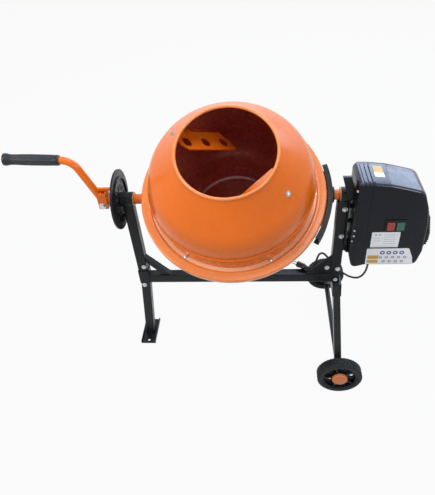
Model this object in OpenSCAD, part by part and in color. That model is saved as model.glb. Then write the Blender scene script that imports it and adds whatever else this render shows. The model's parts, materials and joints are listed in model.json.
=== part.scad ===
// Small electric concrete mixer: tilting drum on a wheeled stand, with crank handle and motor housing.
// +X points to the motor, +Y to the back, +Z up. The origin is on the floor, in the middle of the mixer.

/* [Stand] */
// Height of the tilt axis above the floor
axis_h = 692; // [680:1:820]
// Clear width between the two posts
post_span = 682; // [674:1:800]
// Outside width of the square tubes
tube_w = 35; // [32:1:38]
// Wall thickness of the square tubes
tube_t = 2.5; // [2:0.5:4]
// Height of the crossbar's middle above the floor
bar_z = 329; // [260:1:332]
// Length of the foot plate from front to back
foot_l = 130; // [110:1:180]
// Width of the foot plate
foot_w = 60; // [56:1:80]
// Sideways splay of the left leg
leg_splay = 32; // [10:1:50]

/* [Wheels] */
// Diameter of the tyres
wheel_d = 160; // [140:1:180]
// Width of the tyres
wheel_w = 40; // [34:1:48]
// Distance between the middles of the two wheels
wheel_track = 532; // [440:1:600]
// Diameter of the wheel axle
axle_d = 20; // [16:1:22]

/* [Drum] */
// Lift of the drum's axis above the horizontal in this pose
drum_tilt = 60; // [50:1:70]
// Outside diameter of the drum wall
drum_d = 516; // [480:2:520]
// Diameter of the gear ring's cover
ring_d = 604; // [600:2:608]
// Diameter of the mouth at the middle of its rolled rim
mouth_d = 292; // [260:2:340]
// Angle between the cone and the drum's axis
cone_a = 42; // [36:1:46]
// Depth of the basin below the tilt axis
basin_depth = 185; // [170:1:190]
// Thickness of the drum's sheet
sheet_t = 2.5; // [2:0.5:4]

/* [Handle] */
// Height of the crank's bend above the tilt axis
crank_h = 154; // [140:1:190]
// Length from the crank's bend to the end of the grip
handle_l = 227; // [226:1:300]
// Length of the grip
grip_l = 188; // [120:1:189]
// Diameter of the locking disc
disc_d = 204; // [190:2:216]

/* [Motor housing] */
// Width of the housing, without the vent
housing_w = 226; // [222:1:260]
// Depth of the housing from front to back
housing_d = 150; // [146:1:190]
// Height of the underside of the housing
housing_z = 446; // [440:1:450]

/* [Hidden] */
$fn = 64;

// Fits
run = 0.05;
clear = 0.3;
lap = 1.5;
lap_step = 0.06;

// Stand
half_tube = tube_w / 2;
post_in = post_span / 2;
post_out = post_in + tube_w;
post_mid = post_in + half_tube;
bar_top = bar_z + half_tube;
bar_bottom = bar_z - half_tube;
sleeve_t = 3;
sleeve_h = 60;
foot_t = 4;
foot_x = post_mid + leg_splay;
anchor_pitch = foot_l - 30;
anchor_r = 5.5;

// Wheels
wheel_r = wheel_d / 2;
axle_r = axle_d / 2;
wheel_x = post_mid + 8;
rim_r = wheel_r - 18;
axle_half = wheel_track / 2 + wheel_w / 2 + 1;
cap_r = 27;
leg_w = 25;
leg_top_z = bar_bottom - 18;
leg_end_y = wheel_track / 2 - wheel_w / 2 - 26;

// Bearings and yoke
yoke_r = 17;
bush_r = 20;
bearing_r = 25;
left_arm_x = drum_d / 2 + yoke_r + 9;
right_arm_x = post_in - yoke_r - 8;
corner_r = 20;
sweep_r = 80;
yoke_drop = basin_depth + 85;
hub_r = 28;
shaft_r = 12.5;
left_bearing_x0 = -post_out - 7;
left_bearing_x1 = -post_in + 4;
right_bearing_x0 = post_in + 9;
right_bearing_x1 = post_out + 8;

// Locking disc, clevis and handle
disc_r = disc_d / 2;
disc_t = 6;
disc_x = left_bearing_x0 - disc_t;
slot_n = 12;
slot_w = 11;
clevis_x = disc_x - 36;
clevis_l = 32;
cheek_t = 4;
cheek_y = 17;
clevis_low = -24;
clevis_high = 36;
pivot_x = clevis_x - 18;
pivot_z = -12;
pin_r = 6;
handle_r = 12.5;
lean = 23;
grip_rise = 3;
handle_bend_r = 60;
crank_l = (crank_h - pivot_z) / cos(lean);
turn = 90 - lean - grip_rise;
handle_tangent = handle_bend_r * tan(turn / 2);
corner_x = pivot_x - crank_l * sin(lean);
wire_r = 1.25;
spring_r = pin_r + wire_r + clear;
spring_y = -15.2;
spring_pitch = 2.3;
pawl_z = 43;
pawl_h = 9;
pawl_gap = 0.6;
slot_in_r = 32;
slot_out_r = 51;

// Drum, measured along its own axis from the tilt axis
drum_r = drum_d / 2;
ring_r = ring_d / 2;
mouth_r = mouth_d / 2;
flat_r = 150;
knuckle_r = 40;
wall_w = -10;
knuckle_rise = basin_depth - knuckle_r + wall_w;
bowl_r = (pow(drum_r - flat_r, 2) + pow(knuckle_rise, 2) - pow(knuckle_r, 2)) / (2 * (drum_r - flat_r - knuckle_r));
knuckle_a = -atan2(knuckle_rise, bowl_r - drum_r + flat_r);
seam_w = 110;
cone_w = 120;
cone_bend_r = 130;
cone_r1 = drum_r - cone_bend_r * (1 - cos(cone_a));
cone_w1 = cone_w + cone_bend_r * sin(cone_a);
mouth_w = cone_w1 + (cone_r1 - mouth_r) / tan(cone_a);
cone_slope = atan2(cone_r1 - mouth_r - 1, mouth_w - cone_w1);
rim_bead_r = 5;
hub_top = -basin_depth;
hub_bottom = hub_top - 53;
bearing_hole_r = 26;
ring_bolt_r = drum_r + 8.5;
ring_bolt_n = 6;

// Mixing blade, measured in the drum's own frame
blade_t = 4;
paddle_at = [-164, 95, 245];
paddle_turn = [-5, 38, 25];
paddle_fold = 36;
paddle_slide = [24, 6, 0];
hole_pitch = 70;
hole_rx = 14;
hole_ry = 18;
paddle_bolt_at = [[150, 54], [328, 38]];

// Gears: a crown ring over a small pinion on the tilt axis
pinion_teeth = 12;
ring_teeth = 156;
gear_mid_r = 285;
pitch_r = gear_mid_r * pinion_teeth / ring_teeth;
pinion_tip_r = pitch_r + 2;
pinion_root_r = pitch_r - 3.4;
tooth_tip_w = pitch_r - 1.5;
tooth_root_w = pitch_r + 3.1;
gear_in_r = gear_mid_r - 11;
gear_out_r = gear_mid_r + 11;
gear_top_w = 33.5;
pinion_shaft_r = 8;
guard_r = ring_r + 19;

// Motor housing, drive and switch
housing_x = post_out + 12;
housing_x1 = housing_x + housing_w;
vent_l = 29;
half_d = housing_d / 2;
split_x = housing_x + 46;
skin = 3;
housing_top = axis_h + 86;
top_drop = 40;
corner_drop = 14;
drive_x = housing_x + 30;
pulley_w = 18;
big_pulley_r = 60;
small_pulley_r = 16;
groove_d = 7;
motor_z = axis_h - 165;
motor_x = drive_x + 36;
motor_l = 112;
motor_r = 48;
rotor_r = 7;
shelf_z = motor_z - motor_r - 6;
switch_x = housing_x + 99;
switch_z = axis_h - 96;
switch_w = 66;
switch_h = 45;
button_w = 24;
button_h = 30;
button_gap = 6;
button_travel = 2.5;
button_xs = [switch_x + switch_w / 2 - button_gap / 2 - button_w, switch_x + switch_w / 2 + button_gap / 2];
button_z = switch_z + (switch_h - button_h) / 2;

// Power cord
cord_r = 3.75;
plug_r = 12;
gland_x = housing_x + 80;
gland_y = -20;
plug_at = [262, 6, bar_top + plug_r];
plug_turn = 147;
plug_l = 46;

// The cord's route from the gland to the plug, measured from the drum's middle
CORD = [
    [gland_x, -20, housing_z - 30], [gland_x, -20, 392], [464, -20, 366], [454, -18, 342],
    [438, -12, 326], [418, 4, 316], [400, 24, 312], [380, 36, 320], [360, 38, 340],
    [344, 36, 368], [330, 34, 392], [316, 33, 408], [302, 31, 406], [294, 27, 386],
    [288, 19, 370], [276, 12, plug_at[2]], plug_at
];

// How far the mixer reaches to each side of the drum's middle; the origin is half way
left_reach = -corner_x + handle_l * cos(grip_rise);
right_reach = housing_x1 + vent_l;
drum_x = (left_reach - right_reach) / 2;

BLACK = "#26282b";
ORANGE = "#f47a20";
STEEL = "#b9bcc0";
PLASTIC = "#1c1d21";

function arc(c, r, a0, a1, n) = [for (i = [0:n]) c + r * [cos(a0 + (a1 - a0) * i / n), sin(a0 + (a1 - a0) * i / n)]];

function unit(v) = v / norm(v);

module placed() {
    translate([drum_x, 0, 0]) children();
}
module at_axis() {
    translate([drum_x, 0, axis_h]) children();
}
// The drum's own frame: +Z runs out through the mouth
module at_drum() {
    at_axis() rotate([90 - drum_tilt, 0, 0]) children();
}
module block(x0, x1, y0, y1, z0, z1) {
    translate([x0, y0, z0]) cube([x1 - x0, y1 - y0, z1 - z0]);
}
module x_rod(x0, x1, r) {
    translate([x0, 0, 0]) rotate([0, 90, 0]) cylinder(h = x1 - x0, r = r);
}
module x_ring(x0, x1, r, hole) {
    difference() {
        x_rod(x0, x1, r);
        x_rod(x0 - 1, x1 + 1, hole);
    }
}
module y_rod(y0, y1, r) {
    translate([0, y0, 0]) rotate([-90, 0, 0]) cylinder(h = y1 - y0, r = r);
}
module z_ring(z0, z1, r, hole) {
    translate([0, 0, z0]) difference() {
        cylinder(h = z1 - z0, r = r);
        translate([0, 0, -1]) cylinder(h = z1 - z0 + 2, r = hole);
    }
}
// A shape drawn in the X-Z plane, given thickness from y0 to y1
module upright_plate(y0, y1) {
    translate([0, y1, 0]) rotate([90, 0, 0]) linear_extrude(y1 - y0) children();
}
// A shape drawn in the Y-Z plane, given thickness from x0 to x1
module side_plate(x0, x1) {
    translate([x0, 0, 0]) rotate([90, 0, 90]) linear_extrude(x1 - x0) children();
}
module plate(t) {
    translate([0, 0, -t / 2]) linear_extrude(t) children();
}
module x_tube(x0, x1, y, z, w) {
    difference() {
        block(x0, x1, y - w / 2, y + w / 2, z - w / 2, z + w / 2);
        block(x0 - 1, x1 + 1, y - w / 2 + tube_t, y + w / 2 - tube_t, z - w / 2 + tube_t, z + w / 2 - tube_t);
    }
}
module z_tube(x, z0, z1, w) {
    difference() {
        block(x - w / 2, x + w / 2, -w / 2, w / 2, z0, z1);
        block(x - w / 2 + tube_t, x + w / 2 - tube_t, -w / 2 + tube_t, w / 2 - tube_t, z0 - 1, z1 + 1);
    }
}
// A hexagon head with a washer, standing on z = 0
module hex_head(r) {
    cylinder(h = 1.5, r = r * 1.3);
    translate([0, 0, 1.5]) cylinder(h = r * 0.75, r = r, $fn = 6);
}
module front_bolt(x, y, z) {
    translate([x, y, z]) rotate([90, 0, 0]) hex_head(7);
}

// ---------- Stand ----------
module crossbar() color(BLACK) placed() {
    x_tube(-post_in + sleeve_t, post_in, 0, bar_z, tube_w);
}
module left_post() color(BLACK) placed() {
    difference() {
        z_tube(-post_mid, bar_bottom + 6, axis_h, tube_w);
        translate([0, 0, axis_h]) x_rod(-post_out - 1, -post_in + 1, bearing_r);
    }
}
module right_post() color(BLACK) placed() {
    difference() {
        z_tube(post_mid, bar_bottom, axis_h, tube_w);
        translate([0, 0, axis_h]) x_rod(post_in - 1, post_out + 1, bearing_r);
    }
}
module leg_outline(inset) {
    polygon([
        [-post_out + inset, bar_bottom], [-post_in - inset, bar_bottom],
        [-post_in - leg_splay - inset, foot_t], [-post_out - leg_splay + inset, foot_t]
    ]);
}
// The splayed leg and the sleeve on top that takes the post
module left_leg() color(BLACK) placed() {
    difference() {
        upright_plate(-half_tube, half_tube) leg_outline(0);
        upright_plate(-half_tube + tube_t, half_tube - tube_t) leg_outline(tube_t);
    }
    difference() {
        block(-post_out - sleeve_t, -post_in + sleeve_t, -half_tube - sleeve_t, half_tube + sleeve_t,
            bar_bottom, bar_bottom + sleeve_h);
        block(-post_out, -post_in, -half_tube, half_tube, bar_bottom + 6, bar_bottom + sleeve_h + 1);
    }
}
module foot_plate() color(BLACK) placed() translate([-foot_x, 0, 0]) {
    difference() {
        block(-foot_w / 2, foot_w / 2, -foot_l / 2, foot_l / 2, 0, foot_t);
        for (side = [-1, 1]) translate([0, side * anchor_pitch / 2, -1]) cylinder(h = foot_t + 2, r = anchor_r);
    }
    for (side = [-1, 1]) {
        block(side * (foot_w / 2 - 1.5) - 1.5, side * (foot_w / 2 - 1.5) + 1.5, -foot_l / 2, foot_l / 2, foot_t, 14);
    }
}
module left_brace() color(BLACK) placed() {
    difference() {
        upright_plate(-12, 12) polygon([
            [-post_in, bar_top + 89], [-post_in, bar_top + 63], [-post_in + 57, bar_top], [-post_in + 85, bar_top]
        ]);
        upright_plate(-9, 13) polygon([
            [-post_in - 1, bar_top + 81], [-post_in - 1, bar_top + 72], [-post_in + 68, bar_top - 4],
            [-post_in + 77, bar_top - 4]
        ]);
    }
}
module right_gusset() color(BLACK) placed() {
    upright_plate(-14, -10) polygon([
        [post_in, bar_top + 88], [post_in, bar_top], [post_in - 86, bar_top], [post_in - 86, bar_top + 8]
    ]);
    upright_plate(-14, -4) polygon([
        [post_in, bar_top + 88], [post_in, bar_top + 82], [post_in - 80, bar_top + 2],
        [post_in - 80, bar_top], [post_in - 86, bar_top], [post_in - 86, bar_top + 8]
    ]);
}
// Two cheeks under the right end of the crossbar, with the wheel legs bolted between them
module leg_bracket() color(BLACK) placed() {
    for (x = [wheel_x - leg_w / 2 - 4, wheel_x + leg_w / 2]) {
        side_plate(x, x + 4) polygon([[-34, bar_bottom], [34, bar_bottom], [52, bar_bottom - 44], [-52, bar_bottom - 44]]);
    }
    block(wheel_x - leg_w / 2 - 4, wheel_x + leg_w / 2 + 4, -34, 34, bar_bottom - 4, bar_bottom);
}
module leg_side(inset) {
    polygon([
        [4, leg_top_z + 12 - inset], [26 - inset, leg_top_z + 12 - inset],
        [leg_end_y + 12 - inset, wheel_r - 4], [leg_end_y - 12 + inset, wheel_r - 4], [4, leg_top_z - 16 + inset]
    ]);
}
module wheel_leg() {
    difference() {
        side_plate(wheel_x - leg_w / 2, wheel_x + leg_w / 2) leg_side(0);
        side_plate(wheel_x - leg_w / 2 + 2.5, wheel_x + leg_w / 2 - 2.5) leg_side(3);
        translate([wheel_x, 0, wheel_r]) y_rod(0, leg_end_y + 40, axle_r);
    }
}
module front_wheel_leg() color(BLACK) placed() {
    mirror([0, 1, 0]) wheel_leg();
}
module rear_wheel_leg() color(BLACK) placed() {
    wheel_leg();
}
module wheel_axle() color(STEEL) placed() translate([wheel_x, 0, wheel_r]) {
    y_rod(-axle_half, axle_half, axle_r);
    for (side = [-1, 1]) {
        translate([0, side * (wheel_track / 2 - wheel_w / 2 - 6), 0]) y_rod(-3, 3, axle_r + 5);
    }
}
module frame_bolts() color(STEEL) placed() {
    front_bolt(-post_in - 10, -half_tube, bar_top + 48);
    front_bolt(-post_mid - 6, -half_tube, bar_bottom - 12);
    front_bolt(post_mid + 8, -half_tube, axis_h - 48);
    front_bolt(post_mid + 6, -half_tube, axis_h - 162);
    front_bolt(post_mid + 2, -half_tube, bar_bottom + 10);
    front_bolt(post_mid + 6, -half_tube, bar_top + 30);
    front_bolt(post_in - 14, -14, bar_top + 34);
    for (z = [-138, -160, -184]) translate([post_out + 5, 34, axis_h + z]) rotate([0, 90, 0]) mirror([0, 0, 1]) {
        translate([0, 0, 5]) hex_head(6);
    }
}

// ---------- Wheels ----------
// Both wheels are drawn around the Y axis, with the outside at -Y
module tyre() {
    rotate([90, 0, 0]) rotate_extrude() polygon(concat(
        [[rim_r, wheel_w / 2 - 4], [rim_r + 4, wheel_w / 2]],
        arc([wheel_r - 5, wheel_w / 2 - 5], 5, 90, 0, 4),
        arc([wheel_r - 5, -wheel_w / 2 + 5], 5, 0, -90, 4),
        [[rim_r + 4, -wheel_w / 2], [rim_r, -wheel_w / 2 + 4]]
    ));
}
module rim() {
    difference() {
        y_rod(-wheel_w / 2 + 4, wheel_w / 2 - 4, rim_r);
        y_rod(-wheel_w / 2 + 3, -4, rim_r - 5);
        y_rod(4, wheel_w / 2 - 3, rim_r - 5);
        for (a = [0:72:288]) rotate([0, a, 0]) translate([rim_r - 18, 0, 0]) y_rod(-5, 5, 9);
        y_rod(-wheel_w, wheel_w, axle_r + run);
    }
    difference() {
        y_rod(-wheel_w / 2, wheel_w / 2, axle_r + 9);
        y_rod(-wheel_w, wheel_w, axle_r + run);
    }
    for (a = [36:72:324]) rotate([0, a, 0]) difference() {
        block(axle_r + 6, rim_r - 3, -wheel_w / 2 + 7, -3, -3, 3);
        y_rod(-wheel_w, wheel_w, axle_r + 1);
    }
}
module hub_cap() {
    difference() {
        y_rod(-wheel_w / 2 - 5, -wheel_w / 2, cap_r);
        y_rod(-wheel_w / 2 - 3, -wheel_w / 2 + 1, cap_r - 3);
    }
    difference() {
        y_rod(-wheel_w / 2, -wheel_w / 2 + 7, cap_r);
        y_rod(-wheel_w / 2 - 1, -wheel_w / 2 + 9, cap_r - 3);
    }
}
module at_front_wheel() {
    placed() translate([wheel_x, -wheel_track / 2, wheel_r]) children();
}
module at_rear_wheel() {
    placed() translate([wheel_x, wheel_track / 2, wheel_r]) mirror([0, 1, 0]) children();
}
module front_tyre() color(BLACK) at_front_wheel() tyre();
module front_rim() color(PLASTIC) at_front_wheel() rim();
module front_hub_cap() color(ORANGE) at_front_wheel() hub_cap();
module rear_tyre() color(BLACK) at_rear_wheel() tyre();
module rear_rim() color(PLASTIC) at_rear_wheel() rim();
module rear_hub_cap() color(ORANGE) at_rear_wheel() hub_cap();

// ---------- Bearings and locking disc ----------
module axis_bearings() color(BLACK) at_axis() {
    x_ring(left_bearing_x0, left_bearing_x1, bearing_r, bush_r);
    x_ring(right_bearing_x0, right_bearing_x1, bearing_r, bush_r);
}
module bearing_bushes() color(STEEL) at_axis() {
    x_ring(disc_x, left_bearing_x1, bush_r, yoke_r + run);
    x_ring(left_bearing_x1, left_bearing_x1 + 3, bearing_r - 1, yoke_r + run);
    x_ring(right_bearing_x0, right_bearing_x1, bush_r, yoke_r + run);
    x_ring(right_bearing_x0 - 3, right_bearing_x0, bearing_r - 1, yoke_r + run);
}
module locking_disc() color(BLACK) at_axis() {
    difference() {
        union() {
            x_rod(disc_x, disc_x + disc_t, disc_r);
            x_ring(disc_x + disc_t, disc_x + disc_t + 5, disc_r - 24, disc_r - 30);
        }
        x_rod(disc_x - 1, disc_x + disc_t + 6, bush_r);
        for (i = [0:slot_n - 1]) rotate([i * 360 / slot_n, 0, 0]) {
            block(disc_x - 1, disc_x + disc_t + 1, -slot_w / 2, slot_w / 2, slot_in_r, slot_out_r);
        }
    }
}

// ---------- Yoke, which carries the drum and tilts it ----------
module tube_bend(r, bend, a) {
    rotate_extrude(angle = a) translate([bend, 0]) circle(r);
}
module yoke_path(r) {
    straight = yoke_drop - sweep_r;
    x_rod(clevis_x, -left_arm_x - corner_r, r);
    translate([-left_arm_x - corner_r, 0, -corner_r]) rotate([90, 0, 0]) tube_bend(r, corner_r, 90);
    translate([-left_arm_x, 0, -straight]) cylinder(h = straight - corner_r, r = r);
    translate([-left_arm_x + sweep_r, 0, -straight]) rotate([-90, 0, 0]) rotate([0, 0, 90]) tube_bend(r, sweep_r, 90);
    translate([0, 0, -yoke_drop]) x_rod(-left_arm_x + sweep_r, right_arm_x - sweep_r, r);
    translate([right_arm_x - sweep_r, 0, -straight]) rotate([-90, 0, 0]) tube_bend(r, sweep_r, 90);
    translate([right_arm_x, 0, -straight]) cylinder(h = straight, r = r);
}
module yoke() color(ORANGE) at_drum() difference() {
    union() {
        yoke_path(yoke_r);
        x_rod(right_arm_x - yoke_r, right_bearing_x1 + 8, yoke_r);
        translate([0, 0, -yoke_drop - 18]) cylinder(h = 44, r = hub_r);
    }
    x_rod(right_arm_x - yoke_r - 1, right_bearing_x1 + 9, 12);
    x_rod(clevis_x - 1, -left_arm_x - corner_r - 10, yoke_r - 3);
    translate([0, 0, -yoke_drop - 19]) cylinder(h = 46, r = shaft_r);
}
module yoke_shaft() color(STEEL) at_drum() {
    translate([0, 0, -yoke_drop - 32]) cylinder(h = yoke_drop + 32 + hub_top + 20, r = shaft_r);
    z_ring(-yoke_drop + 26, hub_bottom - 1, shaft_r + 6, shaft_r - 1);
    z_ring(hub_top + 1, hub_top + 4, shaft_r + 4, shaft_r - 1);
}
module shaft_nut() color(STEEL) at_drum() {
    translate([0, 0, -yoke_drop - 29]) difference() {
        cylinder(h = 11, r = 19, $fn = 6);
        translate([0, 0, -1]) cylinder(h = 13, r = shaft_r);
    }
}
module shaft_bushes() color(STEEL) at_axis() {
    x_ring(right_arm_x - yoke_r, right_arm_x + 4, 12, pinion_shaft_r + run);
    x_ring(right_bearing_x1 - 14, right_bearing_x1 + 8, 12, pinion_shaft_r + run);
}
// A curved channel around the mesh of pinion and ring
module gear_guard() color(PLASTIC) at_drum() difference() {
    union() {
        rotate([0, 0, -32]) rotate_extrude(angle = 49) {
            translate([guard_r - 3, -14]) square([3, 50]);
            translate([ring_r + 3, 33]) square([guard_r - ring_r - 3, 3]);
            translate([ring_r + 1, -14]) square([guard_r - ring_r - 1, 3]);
        }
        x_rod(guard_r - 6, guard_r + 7, yoke_r + 9);
    }
    x_rod(ring_r - 20, guard_r + 9, yoke_r);
    translate([right_arm_x, 0, -40]) cylinder(h = 40, r = yoke_r);
}

// ---------- Handle ----------
module handle_clevis() color(ORANGE) at_axis() difference() {
    union() {
        block(clevis_x - cheek_t, clevis_x, -cheek_y - cheek_t, cheek_y + cheek_t, clevis_low, clevis_high);
        for (y = [-cheek_y - cheek_t, cheek_y]) {
            upright_plate(y, y + cheek_t) polygon([
                [clevis_x, clevis_low], [clevis_x - clevis_l, clevis_low], [clevis_x - clevis_l, clevis_high - 8],
                [clevis_x - 24, clevis_high], [clevis_x, clevis_high]
            ]);
        }
    }
    translate([pivot_x, 0, pivot_z]) y_rod(-cheek_y - 5, cheek_y + 5, pin_r);
}
module handle_pin() color(STEEL) at_axis() translate([pivot_x, 0, pivot_z]) {
    y_rod(-cheek_y - cheek_t, cheek_y + cheek_t, pin_r);
    translate([0, -cheek_y - cheek_t, 0]) rotate([90, 0, 0]) hex_head(9);
    translate([0, cheek_y + cheek_t, 0]) rotate([-90, 0, 0]) hex_head(9);
}
// The crank's centre line starts at the pivot and runs up and outwards. Its straight tubes run a lap
// into the bend, which is a hair thinner.
module along_crank(s) {
    at_axis() translate([pivot_x, 0, pivot_z]) rotate([0, -lean, 0]) translate([0, 0, s]) children();
}
module at_grip(s) {
    at_axis() translate([corner_x, 0, crank_h]) rotate([0, grip_rise - 90, 0]) translate([0, 0, s]) children();
}
module handle_tube() color(ORANGE) {
    difference() {
        union() {
            along_crank(11.5) cylinder(h = crank_l - handle_tangent - 11.5 + lap, r = handle_r);
            along_crank(0) y_rod(-6, cheek_y - 1, 13);
            along_crank(crank_l - handle_tangent) translate([-handle_bend_r, 0, 0]) {
                rotate([90, 0, 0]) tube_bend(handle_r - lap_step, handle_bend_r, turn);
            }
            at_grip(handle_tangent - lap) cylinder(h = handle_l - handle_tangent - 8 + lap, r = handle_r);
        }
        along_crank(0) y_rod(-7, cheek_y, pin_r + run);
        at_grip(handle_tangent + 10) cylinder(h = handle_l, r = handle_r - 2.5);
    }
}
// A hollow sleeve with raised ribs and a flared end
module handle_grip() color(PLASTIC) at_grip(handle_l - grip_l) difference() {
    rotate_extrude() polygon(concat(
        [[handle_r, 0], [handle_r + 3, 0], [handle_r + 5.5, 6]],
        [for (i = [0:12]) each [[handle_r + 4.5, 12 + i * 11], [handle_r + 6, 16 + i * 11], [handle_r + 4.5, 20 + i * 11]]],
        [[handle_r + 4, grip_l - 22], [handle_r + 8, grip_l - 14], [handle_r + 8, grip_l - 3], [handle_r + 6, grip_l]],
        [[0, grip_l], [0, grip_l - 8], [handle_r, grip_l - 8]]
    ));
    cylinder(h = 2, r = handle_r);
}
// A close-wound torsion spring around the handle's pin. Its leg is a hair thinner than the coil.
module handle_spring() color(STEEL) at_axis() translate([pivot_x, 0, pivot_z]) {
    for (i = [0:3]) translate([0, spring_y + i * spring_pitch, 0]) rotate([90, 0, 0]) rotate_extrude() {
        translate([spring_r, 0]) circle(r = wire_r, $fn = 32);
    }
    translate([spring_r, spring_y, 0]) cylinder(h = 30, r = wire_r - lap_step);
}
module lock_pawl() color(ORANGE) at_axis() {
    x0 = pivot_x - (pawl_z - pivot_z) * tan(lean);
    difference() {
        block(x0, disc_x - pawl_gap, -slot_w / 2 + 1, slot_w / 2 - 1, pawl_z - pawl_h / 2, pawl_z + pawl_h / 2);
        translate([pivot_x, 0, pivot_z]) rotate([0, -lean, 0]) cylinder(h = crank_l, r = handle_r);
    }
}

// ---------- Drum ----------
// Each sheet outline runs up the outside and back down the inside
function bowl_line(t) = concat(
    arc([flat_r, knuckle_r - basin_depth], knuckle_r - t, -90, knuckle_a, 6),
    arc([drum_r - bowl_r, wall_w], bowl_r - t, knuckle_a, 0, 10)
);
function flip(line) = [for (i = [len(line) - 1:-1:0]) line[i]];
module drum_basin() color(ORANGE) at_drum() rotate_extrude() polygon(concat(
    [[bearing_hole_r, -basin_depth]],
    bowl_line(0),
    [[drum_r, seam_w - 8], [drum_r + 5, seam_w - 5], [drum_r + 5, seam_w]],
    [[drum_r - sheet_t, seam_w]],
    flip(bowl_line(sheet_t)),
    [[bearing_hole_r, sheet_t - basin_depth]]
));
module drum_cone() color(ORANGE) at_drum() {
    rotate_extrude() polygon(concat(
        [[drum_r - sheet_t, seam_w], [drum_r + 5, seam_w], [drum_r + 5, seam_w + 3], [drum_r, seam_w + 7]],
        arc([drum_r - cone_bend_r, cone_w], cone_bend_r, 0, cone_a, 12),
        [[mouth_r + 1, mouth_w], [mouth_r - sheet_t, mouth_w - 1]],
        flip(arc([drum_r - cone_bend_r, cone_w], cone_bend_r - sheet_t, 0, cone_a, 12))
    ));
    translate([0, 0, mouth_w]) rotate_extrude() translate([mouth_r, 0]) circle(r = rim_bead_r, $fn = 24);
}
module ring_holes(h) {
    for (i = [0:ring_bolt_n - 1]) rotate([0, 0, i * 60 - 3]) translate([ring_bolt_r, 0, 0]) cylinder(h = h, r = 4);
}
module ring_cover() color(ORANGE) at_drum() difference() {
    rotate_extrude() polygon(concat(
        [[drum_r, gear_top_w], [ring_r - 3, gear_top_w], [ring_r - 2.5, tooth_tip_w], [ring_r, tooth_tip_w]],
        arc([ring_r - 5, 34], 5, 0, 90, 5),
        [[drum_r + 16, 41], [drum_r + 15, 36], [drum_r, 36]]
    ));
    translate([0, 0, 30]) ring_holes(12);
}
module ring_gear() color(STEEL) at_drum() {
    difference() {
        z_ring(tooth_root_w, gear_top_w, gear_out_r, drum_r);
        translate([0, 0, 20]) ring_holes(20);
    }
    translate([0, 0, tooth_tip_w]) linear_extrude(tooth_root_w - tooth_tip_w + 0.01) {
        for (i = [0:ring_teeth - 1]) rotate((i + 0.5) * 360 / ring_teeth) polygon([
            [gear_in_r, -2], [gear_out_r, -2], [gear_out_r, 2], [gear_in_r, 2]
        ]);
    }
}
module ring_bolts() color(STEEL) at_drum() {
    for (i = [0:ring_bolt_n - 1]) rotate([0, 0, i * 60 - 3]) translate([ring_bolt_r, 0, 0]) {
        translate([0, 0, tooth_root_w - 5]) cylinder(h = 36 - tooth_root_w + 5, r = 4);
        translate([0, 0, 36]) cylinder(h = 5, r = 6, $fn = 6);
        translate([0, 0, tooth_root_w - 5]) cylinder(h = 5, r = 6, $fn = 6);
    }
}
module drum_hub() color(BLACK) at_drum() difference() {
    union() {
        translate([0, 0, hub_bottom]) cylinder(h = 53, r = 34);
        translate([0, 0, hub_top - 8]) cylinder(h = 8, r = 80);
    }
    translate([0, 0, hub_bottom - 1]) cylinder(h = 55, r = bearing_hole_r - 4);
    translate([0, 0, hub_bottom - 1]) cylinder(h = 17, r = bearing_hole_r);
    translate([0, 0, hub_top - 16]) cylinder(h = 17, r = bearing_hole_r);
}
module drum_bearings() color(STEEL) at_drum() {
    z_ring(hub_bottom, hub_bottom + 16, bearing_hole_r, shaft_r + run);
    z_ring(hub_top - 16, hub_top, bearing_hole_r, shaft_r + run);
}
// The cap over the shaft's end inside the drum, with the bolts that hold the hub
module hub_cover() color(STEEL) at_drum() translate([0, 0, hub_top + sheet_t]) {
    difference() {
        cylinder(h = 24, r = 38);
        translate([0, 0, -1]) cylinder(h = 21, r = 32);
    }
    for (a = [0:60:300]) rotate([0, 0, a]) translate([60, 0, 0]) hex_head(6.5);
}
// The space inside the drum's sheet, drawn in by inset
module drum_hollow(inset) {
    rotate_extrude() polygon(concat(
        [[0, inset - basin_depth]],
        bowl_line(inset),
        arc([drum_r - cone_bend_r, cone_w], cone_bend_r - inset, 0, cone_a, 12),
        [[mouth_r - inset, mouth_w - 1], [0, mouth_w - 1]]
    ));
}
// A blade folded along its length: a wing below the mouth and a shank that runs back to the wall.
// The slide moves it along its own length, towards its bolt, and out to its wing's edge.
module paddle_blade(slide) intersection() {
    drum_hollow(sheet_t + clear);
    translate(paddle_at) rotate(paddle_turn) translate(-slide) {
        plate(blade_t) difference() {
            polygon([
                [-60, -10], [4, -34], [6, -48], [28, -67], [209, -67], [207, -46], [201, -28], [190, -10], [180, 6], [-60, 6]
            ]);
            for (i = [0:2]) for (side = [-1, 1]) {
                translate([34 + i * hole_pitch, -35.5 + side * (hole_ry - hole_rx)]) circle(hole_rx);
            }
        }
        translate([0, 6, 0]) rotate([-paddle_fold, 0, 0]) plate(blade_t) difference() {
            polygon([[0, -1], [180, -1], [230, 150], [130, 150], [60, 60]]);
            for (i = [0:1]) translate([78 + i * 56, 24 + i * 26]) circle(hole_rx);
        }
    }
}
module left_paddle() color(ORANGE) at_drum() paddle_blade([0, 0, 0]);
module right_paddle() color(ORANGE) at_drum() rotate([0, 0, 180]) paddle_blade(paddle_slide);
module paddle_bolts() color(STEEL) at_drum() {
    for (p = paddle_bolt_at) rotate([0, 0, p[0]]) {
        translate([cone_r1 - p[1] * sin(cone_slope), 0, cone_w1 + p[1] * cos(cone_slope)]) {
            rotate([0, 90 - cone_slope, 0]) translate([0, 0, clear]) hex_head(6.5);
        }
    }
}

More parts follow.
